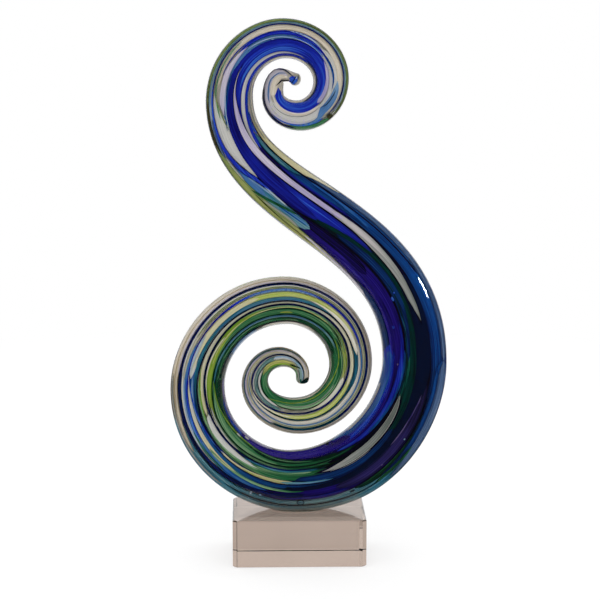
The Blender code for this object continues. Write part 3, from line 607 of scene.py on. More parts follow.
INDIGO_STRANDS = [
    band("indigo", BAND, (520, -0.93, -0.82, 0.7), (560, -0.94, -0.74, 0.75),
         (600, -0.94, -0.68, 0.7), (640, -0.93, -0.62, 0.6), (680, -0.86, -0.6, 0.5)),
    line("indigo", 0.06, 0.6, (665, -0.63), (740, -0.6), (800, -0.6)),
    band("indigo", FIELD, (600, -0.94, -0.4, 0.1), (680, -0.94, -0.36, 0.1),
         (790, -0.93, -0.3, 0.3), (830, -0.93, -0.3, 0.5), (900, -0.93, -0.28, 0.5),
         (960, -0.88, -0.28, 0.45), (1010, -0.8, -0.3, 0.2), (1045, -0.7, -0.4, 0.1)),
    band("indigo", BAND, (900, -0.62, -0.4, 0.2), (950, -0.6, -0.3, 0.1), (1000, -0.5, -0.3, 0.0)),
    line("indigo", 0.07, 0.9, (800, -0.68), (860, -0.72), (930, -0.72)),
    band("indigo", BAND, (538, 0.52, 0.58, 0.2), (560, 0.46, 0.62, 0.3), (600, 0.33, 0.64, 0.35),
         (650, 0.24, 0.64, 0.3), (700, 0.14, 0.57, 0.25), (760, 0.1, 0.52, 0.05),
         (850, 0.13, 0.5, 0.0), (920, 0.18, 0.5, 0.05), (990, 0.28, 0.5, 0.1),
         (1040, 0.4, 0.6, 0.1)),
    band("navy", LENS, (590, 0.24, 0.34, -0.1), (640, 0.2, 0.34, -0.1), (720, 0.08, 0.3, -0.1),
         (800, 0.06, 0.5, -0.1), (850, 0.1, 0.5, -0.1), (880, 0.14, 0.5, 0.0)),
    band("plum", LENS, (640, 0.34, 0.5, 0.1), (670, 0.3, 0.56, 0.3), (700, 0.28, 0.52, 0.3),
         (740, 0.34, 0.52, 0.15), (772, 0.44, 0.5, 0.0)),
    band("indigo", LENS, (622, -0.17, -0.14, 0.0), (650, -0.25, -0.055, 0.0),
         (672, -0.31, -0.03, 0.0), (700, -0.31, -0.04, 0.0), (725, -0.3, -0.05, 0.0),
         (742, -0.3, -0.09, 0.0), (760, -0.29, -0.21, 0.0)),
    band("indigo", BAND, (640, -0.4, -0.32, 0.0), (700, -0.42, -0.32, 0.0),
         (760, -0.33, -0.28, 0.0), (800, -0.32, -0.26, 0.0), (862, -0.3, -0.24, 0.0),
         (960, -0.34, -0.28, 0.0)),
    band("indigo", LENS, (828, 0.31, 0.37, 0.0), (845, 0.2, 0.37, 0.0), (860, 0.13, 0.38, 0.0),
         (900, 0.145, 0.44, 0.0), (922, 0.16, 0.46, 0.0), (960, 0.19, 0.42, 0.0),
         (1000, 0.2, 0.41, 0.0), (1050, 0.19, 0.455, 0.0), (1100, 0.165, 0.41, 0.0),
         (1140, 0.15, 0.25, 0.0), (1166, 0.14, 0.17, 0.0)),
    line("indigo", 0.035, 0.0, (870, 0.8), (900, 0.75), (960, 0.755), (1000, 0.76), (1110, 0.77)),
    band("indigo", LENS, (1036, 0.46, 0.58, 0.3), (1060, 0.46, 0.6, 0.3), (1084, 0.52, 0.6, 0.3)),
    line("indigo", 0.025, 0.0, (660, 0.6), (760, 0.57)),
    line("cobalt", 0.05, 0.3, (560, 0.58), (600, 0.57), (650, 0.56)),
    spot("indigo", 555, 0.56, 0.0, length=4, width=0.08),
    spot("indigo", 648, -0.9, 0.2, length=5, width=0.05),
    spot("indigo", 654, -0.85, 0.2, length=2, width=0.12),
    spot("cobalt", 833, -0.54, 0.8, length=4, width=0.05),
    spot("cobalt", 863, -0.26, 1.0, length=5, width=0.06),
    spot("cobalt", 868, -0.13, 0.9, length=2, width=0.05),
]

NAVY_STRANDS = [
    line("slate", 0.13, 0.0, (-7, 0.16), (4, 0.2), (30, 0.24), (50, 0.22)),
    line("navy", 0.12, 0.5, (36, 0.24), (56, 0.21), (78, 0.22)),
    band("bottle", LINE, (-9, -0.35, 0.98, -0.7), (-6.5, -0.2, 0.98, -0.7),
         (-3.5, 0.2, 0.97, -0.6), (-1, 0.55, 0.95, -0.5), round_start=0.3, round_end=2),
    spot("bottle", -5, -0.25, 0.8, length=4, width=0.3),
    line("navy", 0.22, 0.3, (1400, -0.95), (1406, -0.82), (1410, -0.5), (1415, -0.15)),
    line("navy", 0.17, -0.3, (1389, 0.2), (1395, 0.55), (1402, 0.72), (1409, 0.84), (1417, 0.88)),
    line("navy", 0.1, 0.1, (1374, -0.96), (1390, -0.96), (1402, -0.95)),
    band("navy", LINE, (1416.2, -0.5, 0.9, 0.0), (1417.2, -0.5, 0.9, 0.0), round_start=0.3,
         round_end=0.3),
    line("navy", 0.095, 0.5, (73, 0.25), (80, 0.16), (100, 0.01), (115, -0.1), (130, -0.17),
         (150, -0.19), (170, -0.17), (200, -0.14), (240, -0.11), (300, -0.13)),
    line("navy", 0.06, 0.05, (210, -0.135), (240, -0.11), (300, -0.13)),
    line("navy", 0.08, 0.15, (290, -0.13), (360, -0.17), (400, -0.22), (440, -0.25), (470, -0.28)),
    line("navy", 0.045, 0.4, (460, -0.27), (500, -0.31), (540, -0.32), (570, -0.33), (620, -0.33)),
    line("navy", 0.035, 0.1, (440, -0.28), (500, -0.33), (560, -0.34)),
    line("teal", 0.045, 0.7, (540, -0.28), (580, -0.28), (630, -0.27)),
    line("navy", 0.05, 0.1, (231, 0.11), (262, 0.09), (300, 0.01), (340, -0.02), (400, -0.03),
         (440, 0.02), (480, 0.05), (518, 0.035)),
    line("navy", 0.09, 0.35, (166, 0.74), (210, 0.72), (240, 0.705), (300, 0.715), (360, 0.7),
         (400, 0.68), (470, 0.66)),
    line("navy", 0.12, 0.35, (430, 0.67), (480, 0.65), (520, 0.61), (560, 0.56), (610, 0.48)),
    line("navy", 0.03, 0.1, (288, -0.86), (362, -0.86), (430, -0.85)),
    line("navy", 0.035, 0.1, (506, 0.105), (560, 0.13), (644, 0.17)),
    # Painted shadow: a dark navy band beside the cobalt's edge on the upper coil
    band("navy", LENS, (1232, 0.76, 0.81, 0.4), (1290, 0.77, 0.83, 0.2), (1334, 0.79, 0.84, 0.2)),
    band("navy", LENS, (1344, -0.92, -0.8, 0.2), (1370, -0.95, -0.76, 0.2),
         (1386, -0.93, -0.8, 0.2)),
    line("navy", 0.04, 0.2, (1296, -0.33), (1304, -0.27), (1312, -0.2), (1319, -0.04)),
    band("navy", FIELD, (430, 0.0, 0.62, 0.4), (520, 0.0, 0.66, 0.5), (600, 0.0, 0.5, 0.2),
         (640, 0.3, 0.4, 0.1)),
]

OLIVE_STRANDS = [
    band("olive", BAND, (9, -0.76, -0.36, 0.9), (24, -0.78, -0.28, 1.0), (48, -0.72, -0.3, 0.9),
         (60, -0.62, -0.45, 0.6)),
    line("olive", 0.05, 0.2, (9, -0.8), (20, -0.86), (34, -0.86)),
    band("mist", LENS, (1418, -0.9, 0.9, 0.5), (1420.5, -0.9, 0.9, 0.3), round_start=0.5,
         round_end=1),
    line("olive", 0.03, 0.6, (205, -0.28), (270, -0.27)),
    line("olive", 0.025, 0.8, (110, 0.57), (240, 0.6), (300, 0.6), (404, 0.545)),
    line("olive", 0.02, 0.6, (236, 0.51), (300, 0.54), (396, 0.5)),
    line("plum", 0.03, 1.0, (706, 0.28), (735, 0.31), (762, 0.38)),
    line("green", 0.06, 0.4, (672, 0.8), (715, 0.8)),
    band("olive", FIELD, (676, -0.96, -0.93, 0.5), (860, -0.96, -0.93, 0.5)),
    band("olive", LENS, (890, -0.96, -0.92, 0.9), (940, -0.96, -0.86, 1.0),
         (965, -0.96, -0.81, 0.9), (985, -0.96, -0.75, 0.75), (1015, -0.96, -0.69, 0.7),
         (1040, -0.96, -0.71, 0.65), (1070, -0.96, -0.78, 0.6), (1088, -0.95, -0.92, 0.5)),
    band("cream", BAND, (970, 0.94, 0.96, 0.6), (1000, 0.86, 0.96, 0.5), (1012, 0.79, 0.96, 0.3),
         (1060, 0.79, 0.95, 0.2), (1100, 0.81, 0.9, 0.3)),
    line("olive", 0.02, 0.3, (960, -0.9), (1000, -0.86), (1036, -0.8)),
    band("olive", BAND, (1074, -0.97, -0.86, 0.0), (1110, -0.97, -0.86, 0.0),
         (1140, -0.97, -0.88, 0.2)),
    band("olive", BAND, (1122, -0.97, -0.86, 0.3), (1200, -0.97, -0.84, 0.4),
         (1316, -0.97, -0.83, 0.25)),
    line("slate", 0.07, 0.6, (1076, -0.81), (1092, -0.81), (1110, -0.8)),
    line("olive", 0.035, 0.7, (1098, -0.22), (1115, -0.4), (1134, -0.65)),
    line("olive", 0.025, 0.1, (1318, 0.0), (1372, -0.2)),
]

LAVENDER_STRANDS = [
    line("lavender", 0.1, 0.95, (48, 0.68), (112, 0.68)),
    band("lavender", FIELD, (1330, -0.62, -0.3, 0.7), (1350, -0.75, -0.3, 0.8),
         (1384, -0.9, -0.2, 0.9), (1400, -0.9, 0.2, 0.9), (1409, -0.9, 0.7, 0.9)),
    band("mist", LINE, (832, 0.33, 0.35, 0.3), (845, 0.235, 0.35, 0.4), (860, 0.17, 0.35, 0.45),
         (880, 0.17, 0.375, 0.55), (905, 0.175, 0.41, 0.65), (925, 0.2, 0.43, 0.85),
         (945, 0.235, 0.42, 1.0), (970, 0.24, 0.395, 1.0)),
    band("lavender", LINE, (955, 0.25, 0.39, 0.3), (985, 0.245, 0.395, 0.35),
         (1015, 0.24, 0.41, 0.4), (1045, 0.22, 0.44, 0.55), (1075, 0.185, 0.43, 0.6),
         (1105, 0.18, 0.38, 0.5), (1140, 0.175, 0.22, 0.4), (1162, 0.16, 0.165, 0.4)),
    band("lavender", LENS, (1112, -0.3, -0.25, 0.5), (1125, -0.4, -0.2, 0.6),
         (1150, -0.4, -0.17, 0.6), (1165, -0.34, -0.18, 0.6), (1182, -0.25, -0.22, 0.5)),
    band("lavender", LENS, (1266, 0.07, 0.12, 0.5), (1280, 0.1, 0.26, 0.3),
         (1300, 0.13, 0.34, 0.15), (1317, 0.16, 0.38, 0.3), round_end=2),
    band("sage", LENS, (476, -0.27, -0.2, 0.7), (482, -0.28, -0.12, 0.8),
         (500, -0.285, -0.09, 0.85), (520, -0.285, -0.1, 0.8), (540, -0.25, -0.13, 0.7),
         (560, -0.19, -0.16, 0.6), round_start=4),
    band("mist", LINE, (631, -0.15, -0.14, 0.8), (650, -0.205, -0.11, 0.65),
         (672, -0.275, -0.1, 0.4), (700, -0.275, -0.11, 0.25), (725, -0.265, -0.115, 0.15),
         (742, -0.255, -0.14, 0.15), (757, -0.255, -0.24, 0.15)),
    line("sage", 0.014, 0.4, (640, -0.1), (672, -0.085), (700, -0.095), (725, -0.11), (742, -0.15),
         (756, -0.24)),
    line("sage", 0.012, 0.0, (640, -0.18), (658, -0.24), (672, -0.275), (720, -0.272),
         (755, -0.26)),
    line("mist", 0.01, 0.6, (650, -0.055), (672, -0.045), (690, -0.055)),
    band("sage", BAND, (1046, -0.33, -0.28, 0.6), (1060, -0.42, -0.25, 0.7),
         (1080, -0.58, -0.21, 0.7), (1100, -0.65, -0.2, 0.6), (1115, -0.67, -0.36, 0.6),
         (1131, -0.665, -0.6, 0.5)),
    line("sky", 0.04, 1.0, (1098, -0.2), (1120, -0.19), (1136, -0.17)),
    band("sage", LENS, (1066, 0.44, 0.47, 0.1), (1100, 0.45, 0.6, 0.3), (1150, 0.54, 0.68, 0.7),
         (1200, 0.62, 0.75, 0.5), (1250, 0.73, 0.79, 0.2)),
    band("sage", FIELD, (1252, -0.3, 0.1, 0.5), (1300, -0.5, 0.1, 0.6), (1340, -0.5, 0.05, 0.7),
         (1376, -0.6, 0.0, 0.7)),
    line("sage", 0.05, 0.7, (680, -0.94), (760, -0.94)),
    # Painted highlights: two small white glints on the lower coil
    spot("sage", 518, -0.775, 1.0, length=7, width=0.04),
    spot("sage", 530, -0.885, 1.0, length=7, width=0.04),
    spot("sky", 718, 0.5, 0.6, length=1.6, width=0.03),
    spot("plum", 687, 0.52, 1.0, length=2, width=0.03),
    spot("mist", 1314, -0.78, 0.0, length=5, width=0.05),
]

# The ribbons in the order in which their strands are laid. The navy strands come last, and are
# split between the front and the back of the rod. Every ribbon has both.
RIBBONS = {
    "bottle_green_ribbon": ("green_glass", GREEN_STRANDS),
    "lime_ribbon": ("lime_glass", LIME_STRANDS),
    "cream_ribbon": ("cream_glass", CREAM_STRANDS),
    "teal_ribbon": ("teal_glass", TEAL_STRANDS),
    "sky_blue_ribbon": ("sky_glass", SKY_STRANDS),
    "cobalt_ribbon": ("cobalt_glass", COBALT_STRANDS),
    "indigo_ribbon": ("indigo_glass", INDIGO_STRANDS),
    "olive_ribbon": ("olive_glass", OLIVE_STRANDS),
    "lavender_ribbon": ("lavender_glass", LAVENDER_STRANDS),
}
NAVY_BACKS = {"navy_thread_front": False, "navy_thread_back": True}


def smooth_curve(at, values):
    """A smooth curve through the given values that doesn't swing past them."""
    at, values = np.array(at, float), np.array(values, float)
    gaps = np.diff(at)
    slopes = np.diff(values) / gaps
    tangents = np.concatenate([slopes[:1], np.zeros(len(at) - 2), slopes[-1:]])
    for i in range(1, len(at) - 1):
        if slopes[i - 1] * slopes[i] > 0:
            before = 2 * gaps[i] + gaps[i - 1]
            after = gaps[i] + 2 * gaps[i - 1]
            tangents[i] = (before + after) / (before / slopes[i - 1] + after / slopes[i])

    def value(x):
        x = np.clip(x, at[0], at[-1])
        i = np.clip(np.searchsorted(at, x, side="right") - 1, 0, len(gaps) - 1)
        t = (x - at[i]) / gaps[i]
        rise = values[i + 1] - values[i]
        start, end = tangents[i] * gaps[i], tangents[i + 1] * gaps[i]
        square, cube = 3 * rise - 2 * start - end, start + end - 2 * rise
        return values[i] + start * t + square * t**2 + cube * t**3

    return value


def curve_through(marks):
    """A smooth curve through pairs of a place and its value."""
    return smooth_curve(*zip(*marks))


def ring_points():
    """Quarter points of the lower coil's outer turn, a channel away from the inner one."""
    radii = zip(CURL_DIAMETERS, CHANNELS, RING_DIAMETERS)
    top, left, bottom, right = (inner / 2 + gap + outer / 2 for inner, gap, outer in radii)
    curl_top, curl_left, curl_bottom, curl_right = CURL[2:]
    return [
        (curl_top[0] + RING_SHIFTS[0], curl_top[1] + top),
        (curl_left[0] - left, curl_left[1] + RING_SHIFTS[1]),
        (curl_bottom[0] + RING_SHIFTS[2], curl_bottom[1] - bottom),
        (curl_right[0] + right, curl_right[1] + RING_SHIFTS[3]),
    ]


def head_points():
    """Quarter points of the upper coil, the outermost a channel away from the innermost."""
    reach = HEAD_DIAMETERS[-1] / 2 + HEAD_CHANNEL + HEAD_DIAMETERS[0] / 2
    outer = (HEAD[3][0] - reach, HEAD[3][1] + HEAD_SHIFT)
    return [(x + UPPER_EYE[0], z + UPPER_EYE[1]) for x, z in (outer, *HEAD)]


def quarter_points():
    """The whole chain from the lower eye, as (x, z, way x, way z)."""
    up, left, down, right = (0, 1), (-1, 0), (0, -1), (1, 0)
    points = [*CURL, *ring_points(), *head_points()]
    ways = [up, up, left, down, right, up, left, down, right, up]
    ways += [up, right, down, left, up, right, UPPER_TIP_WAY]
    return np.array([(x * MM, z * MM, *way) for (x, z), way in zip(points, ways)], float)


def handles(index, start, end):
    """Bezier handle lengths of one stretch, from its span along each end's own way."""
    span = np.abs(end[:2] - start[:2])
    if index == 0:
        return span[1] / 3, span[1] / 3
    leave_span = span[0] if abs(start[2]) > abs(start[3]) else span[1]
    arrive_span = span[0] if abs(end[2]) > abs(end[3]) else span[1]
    if index == BODY_STRETCH:
        return BODY_LEAVE * leave_span, BODY_ARRIVE * arrive_span
    return QUARTER_LEAVE * leave_span, QUARTER_ARRIVE * arrive_span


class Rod:
    """The scroll's centreline in the world, finely sampled, and its radius along the way."""

    def __init__(self, seat_height):
        chain = quarter_points()
        places, ways, quarters = [], [], []
        for index in range(len(chain) - 1):
            t = np.linspace(0, 1, CURVE_SAMPLES + 1)[:, None]
            if index < len(chain) - 2:
                t = t[:-1]
            start, end = chain[index], chain[index + 1]
            leave, arrive = handles(index, start, end)
            a, d = start[:2], end[:2]
            b, c = a + start[2:] * leave, d - end[2:] * arrive
            places.append((1 - t) ** 3 * a + 3 * (1 - t) ** 2 * t * b + 3 * (1 - t) * t**2 * c
                          + t**3 * d)
            way = (1 - t) ** 2 * (b - a) + 2 * (1 - t) * t * (c - b) + t**2 * (d - c)
            ways.append(way / np.linalg.norm(way, axis=1)[:, None])
            quarters.append(index + t[:, 0])
        place, way = np.vstack(places), np.vstack(ways)
        self.length = np.concatenate([[0], np.cumsum(np.hypot(*np.diff(place, axis=0).T))])
        self.total = self.length[-1]
        self.radius = self.diameters()(np.concatenate(quarters)) / 2
        self.seat = seat_height
        lowest = (place[:, 1] - self.radius).min()
        eye = (LOWER_EYE_SIDEWAYS, seat_height - lowest - SEAT_FLAT_DEPTH)
        self.x, self.z = place[:, 0] + eye[0], place[:, 1] + eye[1]
        self.way_x, self.way_z = way[:, 0], way[:, 1]

    def diameters(self):
        """The rod's diameter as a curve over the quarters."""
        table = list(enumerate(START_DIAMETERS + CURL_DIAMETERS + RING_DIAMETERS))
        table += [(BODY_QUARTER, BODY_DIAMETER), (NECK_QUARTER, NECK_DIAMETER)]
        table += [(BODY_STRETCH + 1 + i, d) for i, d in enumerate(HEAD_DIAMETERS)]
        table += [(ARCH_QUARTER, ARCH_DIAMETER), (WAIST_QUARTER, WAIST_DIAMETER)]
        table.append((LAST_QUARTER, WAIST_DIAMETER))
        quarters, diameters = zip(*sorted(table))
        return smooth_curve(quarters, np.array(diameters) * MM)

    def at(self, lengths):
        """Places, side directions and radii at the given lengths."""
        tables = (self.x, self.z, self.way_x, self.way_z, self.radius)
        x, z, way_x, way_z, radius = (np.interp(lengths, self.length, t) for t in tables)
        norm, flat = np.hypot(way_x, way_z), np.zeros_like(x)
        place = np.column_stack([x, flat, z])
        side = np.column_stack([way_z / norm, flat, -way_x / norm])
        return place, side, radius

    def closed_radius(self, lengths):
        """The rod's radius, closed over at both tips, with the bead at the upper one."""
        radius = self.at(lengths)[2]
        start = np.clip(lengths / LOWER_END_LENGTH, 0, 1)
        radius = radius * np.maximum(np.sqrt(1 - (1 - start) ** 2), THINNEST_SHARE)
        from_end = self.total - lengths
        along = np.clip(1 - 2 * from_end / UPPER_BEAD_LENGTH, -1, 1)
        bead = UPPER_BEAD_DIAMETER / 2 * np.sqrt(np.maximum(1 - along**2, 0))
        waist = np.where(from_end > UPPER_BEAD_LENGTH / 2, radius, 0)
        return np.maximum(np.maximum(bead, waist), THINNEST_RADIUS)

    def points(self, lengths, reach, angles):
        """Points at a reach from the centreline and an angle round it from the front."""
        place, side, _ = self.at(lengths)
        front = np.array([0, -1, 0])
        reach, angles = reach[..., None], angles[..., None]
        return place[:, None] + reach * (np.sin(angles) * side[:, None] + np.cos(angles) * front)

    def tilt(self, lengths):
        """How far round the rod the camera stands from the front, at each length."""
        place, side, _ = self.at(lengths)
        sight = np.array(SIGHT) - place
        return np.arctan2((sight * side).sum(axis=1), -sight[:, 1])


def seen_angle(across, depth):
    """The angle round the rod of a strand at this depth that is seen this far across it."""
    outside = np.arcsin(across)
    inside = np.arcsin(across / GLASS_INDEX)
    met = np.arcsin(np.clip(across / GLASS_INDEX / depth, -1, 1))
    return np.clip(outside + met - inside, -WIDEST_ANGLE, WIDEST_ANGLE)


def place_object(name, data):
    """Adds an object to the scene."""
    item = bpy.data.objects.new(name, data)
    bpy.context.scene.collection.objects.link(item)
    return item


def new_mesh(name, points, faces, **on_points):
    """A mesh that keeps the given vectors on its points."""
    mesh = bpy.data.meshes.new(name)
    mesh.from_pydata(points.reshape(-1, 3).tolist(), [], faces)
    for title, vectors in on_points.items():
        layer = mesh.attributes.new(title, "FLOAT_VECTOR", "POINT")
        layer.data.foreach_set("vector", vectors.ravel())
    return mesh


def add_piece(name, mesh, materials, node):
    """A finished piece of the object, attached to the root body, which stands for a CAD node and
    hides it.
    """
    work = bmesh.new()
    work.from_mesh(mesh)
    bmesh.ops.recalc_face_normals(work, faces=work.faces)
    work.to_mesh(mesh)
    work.free()
    for material in materials:
        mesh.materials.append(material)
    mesh.shade_smooth()
    mesh.set_sharp_from_angle(angle=SHARP_ANGLE)
    piece = place_object(name, mesh)
    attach(piece, "root")
    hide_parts(node)


def ring_faces(first, rings, sides):
    """The faces between rings of points, each ring joined to the next."""
    faces = []
    for a in range(first, first + (rings - 1) * sides, sides):
        b = a + sides
        faces += [(a + j, a + (j + 1) % sides, b + (j + 1) % sides, b + j) for j in range(sides)]
    return faces


class StrandMesh:
    """Collects closed strands, with their grain and marks kept on the points. The grain is the
    place along and round the rod. The marks are the nearness to an edge, and the tone."""

    def __init__(self, rod, laid):
        self.rod = rod
        self.laid = laid
        self.points, self.grain, self.marks = [], [], []
        self.faces, self.slots, self.finishes = [], [], []
        self.count = 0

    def add(self, strand, back):
        """One strand on the front or the back, a hair above all those added before it."""
        self.laid += 1
        depth = strand.depth + self.laid * LAYING_LIFT
        stations = strand.stations()
        left, right, tone = strand.edges(stations)
        middle, half = (left + right) / 2, (right - left) / 2
        middle = middle + curve_through(SIDE_MARKS)(stations) * (1 - middle**4)
        half = half * strand.end_share(stations)
        lengths = curve_through(STEP_MARKS)(stations)
        lengths = np.clip(lengths, STRAND_END_COVER, self.rod.total - STRAND_END_COVER)
        low = seen_angle(np.maximum(middle - half, -WIDEST), depth)
        high = seen_angle(np.minimum(middle + half, WIDEST), depth)
        tilt = self.rod.tilt(lengths)
        if back:
            low, high = math.pi + tilt - high, math.pi + tilt - low
        low, high = low + tilt, high + tilt
        slices = max(1, math.ceil(float((high - low).max()) / SLICE_ANGLE))
        across = np.linspace(0, 1, slices + 1)
        angles = low[:, None] + (high - low)[:, None] * across
        radius = self.rod.closed_radius(lengths)[:, None] * np.ones_like(angles)
        self.sweep(depth * radius, lengths, angles, radius, tone, across)
        self.join(strand.finish, len(lengths), 2 * len(across))

    def sweep(self, reach, lengths, angles, radius, tone, across):
        """The points of one strand: its outer skin, then its inner skin the other way round."""
        ones = np.ones_like(angles)
        outer = self.rod.points(lengths, reach, angles)
        inner = self.rod.points(lengths, reach - STRAND_THICKNESS * radius, angles)
        grain = np.stack([lengths[:, None] * ones, angles * reach, 0 * ones], axis=-1)
        marks = np.stack([np.abs(2 * across - 1) * ones, tone[:, None] * ones, 0 * ones], axis=-1)
        ring = np.concatenate([outer, inner[:, ::-1]], axis=1)
        ring[..., 2] = np.maximum(ring[..., 2], self.rod.seat + SEAT_COVER)
        self.points.append(ring.reshape(-1, 3))
        for kept, values in ((self.grain, grain), (self.marks, marks)):
            kept.append(np.concatenate([values, values[:, ::-1]], axis=1).reshape(-1, 3))

    def join(self, finish, stations, size):
        """Faces of one closed strand: its skin and the strips that close both ends."""
        if finish not in self.finishes:
            self.finishes.append(finish)
        made = ring_faces(self.count, stations, size)
        for a in (self.count, self.count + (stations - 1) * size):
            made += [(a + j, a + j + 1, a + size - 2 - j, a + size - 1 - j)
                     for j in range(size // 2 - 1)]
        self.faces += made
        self.slots += [self.finishes.index(finish)] * len(made)
        self.count += stations * size

    def mesh(self, name):
        points, grain, marks = (np.vstack(v) for v in (self.points, self.grain, self.marks))
        mesh = new_mesh(name, points, self.faces, grain=grain, marks=marks)
        mesh.polygons.foreach_set("material_index", self.slots)
        return mesh


class Wire:
    """A node's output. Arithmetic on it adds Math nodes."""

    def __init__(self, tree, socket=None):
        self.tree = tree
        self.socket = socket

    def fill(self, made, values):
        """Gives a node's inputs their numbers or wires."""
        for key, value in values.items():
            if isinstance(value, Wire):
                self.tree.links.new(value.socket, made.inputs[key])
            else:
                made.inputs[key].default_value = value

    def node(self, kind, settings, values, output=0):
        """Adds any node: its type, its settings, then numbers or wires for its inputs."""
        made = self.tree.nodes.new(kind)
        for name, value in settings.items():
            setattr(made, name, value)
        self.fill(made, values)
        return Wire(self.tree, made.outputs[output])

    def math(self, operation, *values):
        settings = {"operation": operation}
        return self.node("ShaderNodeMath", settings, dict(enumerate((self, *values))))

    def __add__(self, other):
        return self.math("ADD", other)

    __radd__ = __add__

    def __sub__(self, other):
        return self.math("SUBTRACT", other)

    def __rsub__(self, other):
        return self.math("MULTIPLY_ADD", -1.0, other)

    def __mul__(self, other):
        return self.math("MULTIPLY", other)

    __rmul__ = __mul__

    def __truediv__(self, other):
        return self.math("DIVIDE", other)

    def __pow__(self, other):
        return self.math("POWER", other)

    def outputs(self, *names):
        """Other outputs of the same node."""
        return [Wire(self.tree, self.socket.node.outputs[name]) for name in names]

    def parted(self):
        """The three parts of a vector."""
        return self.node("ShaderNodeSeparateXYZ", {}, {0: self}).outputs(0, 1, 2)

    def clamped(self):
        return self.node("ShaderNodeClamp", {}, {0: self})

    def blend(self, low, high):
        """A colour between two, with this wire as the factor."""
        values = {0: self, 6: low, 7: high}
        return self.node("ShaderNodeMix", {"data_type": "RGBA"}, values, output=2)

    def coordinates(self, kind):
        return self.node("ShaderNodeTexCoord", {}, {}, output=kind)

    def on_points(self, title):
        """Vectors that the mesh keeps on its points."""
        return self.node("ShaderNodeAttribute", {"attribute_name": title}, {}, output="Vector")

    def noise(self, place, scale, detail):
        values = {"Vector": place, "Scale": scale, "Detail": detail}
        return self.node("ShaderNodeTexNoise", {}, values)

    def drawn_noise(self, grain, fineness):
        """Noise drawn out along the rod, with its fineness along the rod and across it."""
        drawn = self.node("ShaderNodeVectorMath", {"operation": "MULTIPLY"},
                          {0: grain, 1: (*fineness, 1.0)})
        return self.node("ShaderNodeTexNoise", {"noise_dimensions": "2D"},
                         {"Vector": drawn, "Scale": 1.0, "Detail": 2.0, "Roughness": 0.5})

    def bump(self, height, distance):
        return self.node("ShaderNodeBump", {}, {"Height": height, "Distance": distance})


def linear(colour):
    """A colour picker's colour as linear light, with full alpha."""
    shares = [c / 255 for c in colour]
    light = [c / 12.92 if c <= 0.04045 else ((c + 0.055) / 1.055) ** 2.4 for c in shares]
    return (*light, 1.0)


def under_glass(colour):
    """The colour that a strand needs to show the given one through the casing."""
    return (*(c / (1 - CASED_GAIN + CASED_GAIN * c) for c in linear(colour)[:3]), 1.0)


def new_material(name):
    """A material with only a Principled shader, and a wire that adds nodes to it."""
    material = bpy.data.materials.new(name)
    material.use_nodes = True
    return material, Wire(material.node_tree)


def dress(material, values):
    """Gives the material's Principled shader its numbers and wires."""
    Wire(material.node_tree).fill(material.node_tree.nodes["Principled BSDF"], values)
    return material


def strand_material(finish):
    """Coloured glass drawn into threads: streaks of tone along the strand, and painted shade at
    its edges.
    """
    material, wire = new_material(finish + "_drawn_glass")
    dark, middle, light = (under_glass(tone) for tone in FINISHES[finish])
    grain = wire.on_points("grain")
    edge, tone, _ = wire.on_points("marks").parted()
    thread = (wire.drawn_noise(grain, THREAD_GRAIN) - 0.5) * THREAD_SHADING
    cloud = (wire.drawn_noise(grain, CLOUD_GRAIN) - 0.5) * CLOUD_SHADING
    share = (tone * (1 - DARK_TONE_GRAIN) + DARK_TONE_GRAIN).clamped()
    # Painted shade: the tone is darkened towards the strand's edges
    level = (tone + (thread + cloud) * share - (edge**4.0) * EDGE_PAINTED_SHADE).clamped()
    low = (level * 2.0).clamped().blend(dark, middle)
    colour = (level * 2.0 - 1.0).clamped().blend(low, light)
    return dress(material, {"Base Color": colour, **UNPOLISHED})


def core_material():
    """Clear glass with pale threads in it, painted pale for the surroundings seen through the
    glass and painted in shadow where the dense blue covers it.
    """
    material, wire = new_material("core_clear_glass")
    grain = wire.on_points("grain")
    length, _, _ = grain.parted()
    threads = ((wire.drawn_noise(grain, CORE_GRAIN) - 0.5) * CORE_SHADING + 0.5).clamped()
    # Painted light: the pale stands for the surroundings seen through clear glass
    pale = threads.blend(*(under_glass(tone) for tone in CORE_PAINTED_SURROUNDINGS))
    dark = threads.blend(*(under_glass(tone) for tone in CORE_PAINTED_SHADE))
    # Painted shade over the stretch of the core that the dense blue covers
    begun = ((length - PAINTED_SHADE_START) / PAINTED_SHADE_FADE).clamped()
    painted_shade_share = begun * ((PAINTED_SHADE_END - length) / PAINTED_SHADE_FADE).clamped()
    return dress(material, {"Base Color": painted_shade_share.blend(pale, dark), **UNPOLISHED})


def casing_material():
    """Polished clear glass whose surface is faintly drawn along the rod."""
    material, wire = new_material("casing_clear_glass")
    noise = wire.drawn_noise(wire.on_points("grain"), CASING_GRAIN)
    return dress(material, {
        "Base Color": CASING_TINT,
        "Roughness": 0.0,
        "IOR": GLASS_INDEX,
        "Transmission Weight": 1.0,
        "Normal": wire.bump(noise, CASING_WAVE),
    })


def crystal_material():
    """Polished crystal with a surface that isn't quite flat, and a warm tint, in faint drifts,
    that paints in the tan surroundings seen through it.
    """
    material, wire = new_material("plinth_clear_crystal")
    place = wire.coordinates("Object")
    drift = wire.noise(place, CRYSTAL_DRIFT_SCALE, 1.0)
    ripple = wire.noise(place, CRYSTAL_RIPPLE_SCALE, 1.0)
    return dress(material, {
        # Painted light: the tan surroundings seen through the crystal
        "Base Color": drift.blend(*(linear(tint) for tint in CRYSTAL_PAINTED_SURROUNDINGS)),
        "Roughness": 0.0,
        "IOR": CRYSTAL_INDEX,
        "Transmission Weight": 1.0,
        "Normal": wire.bump(ripple, CRYSTAL_RIPPLE),
    })


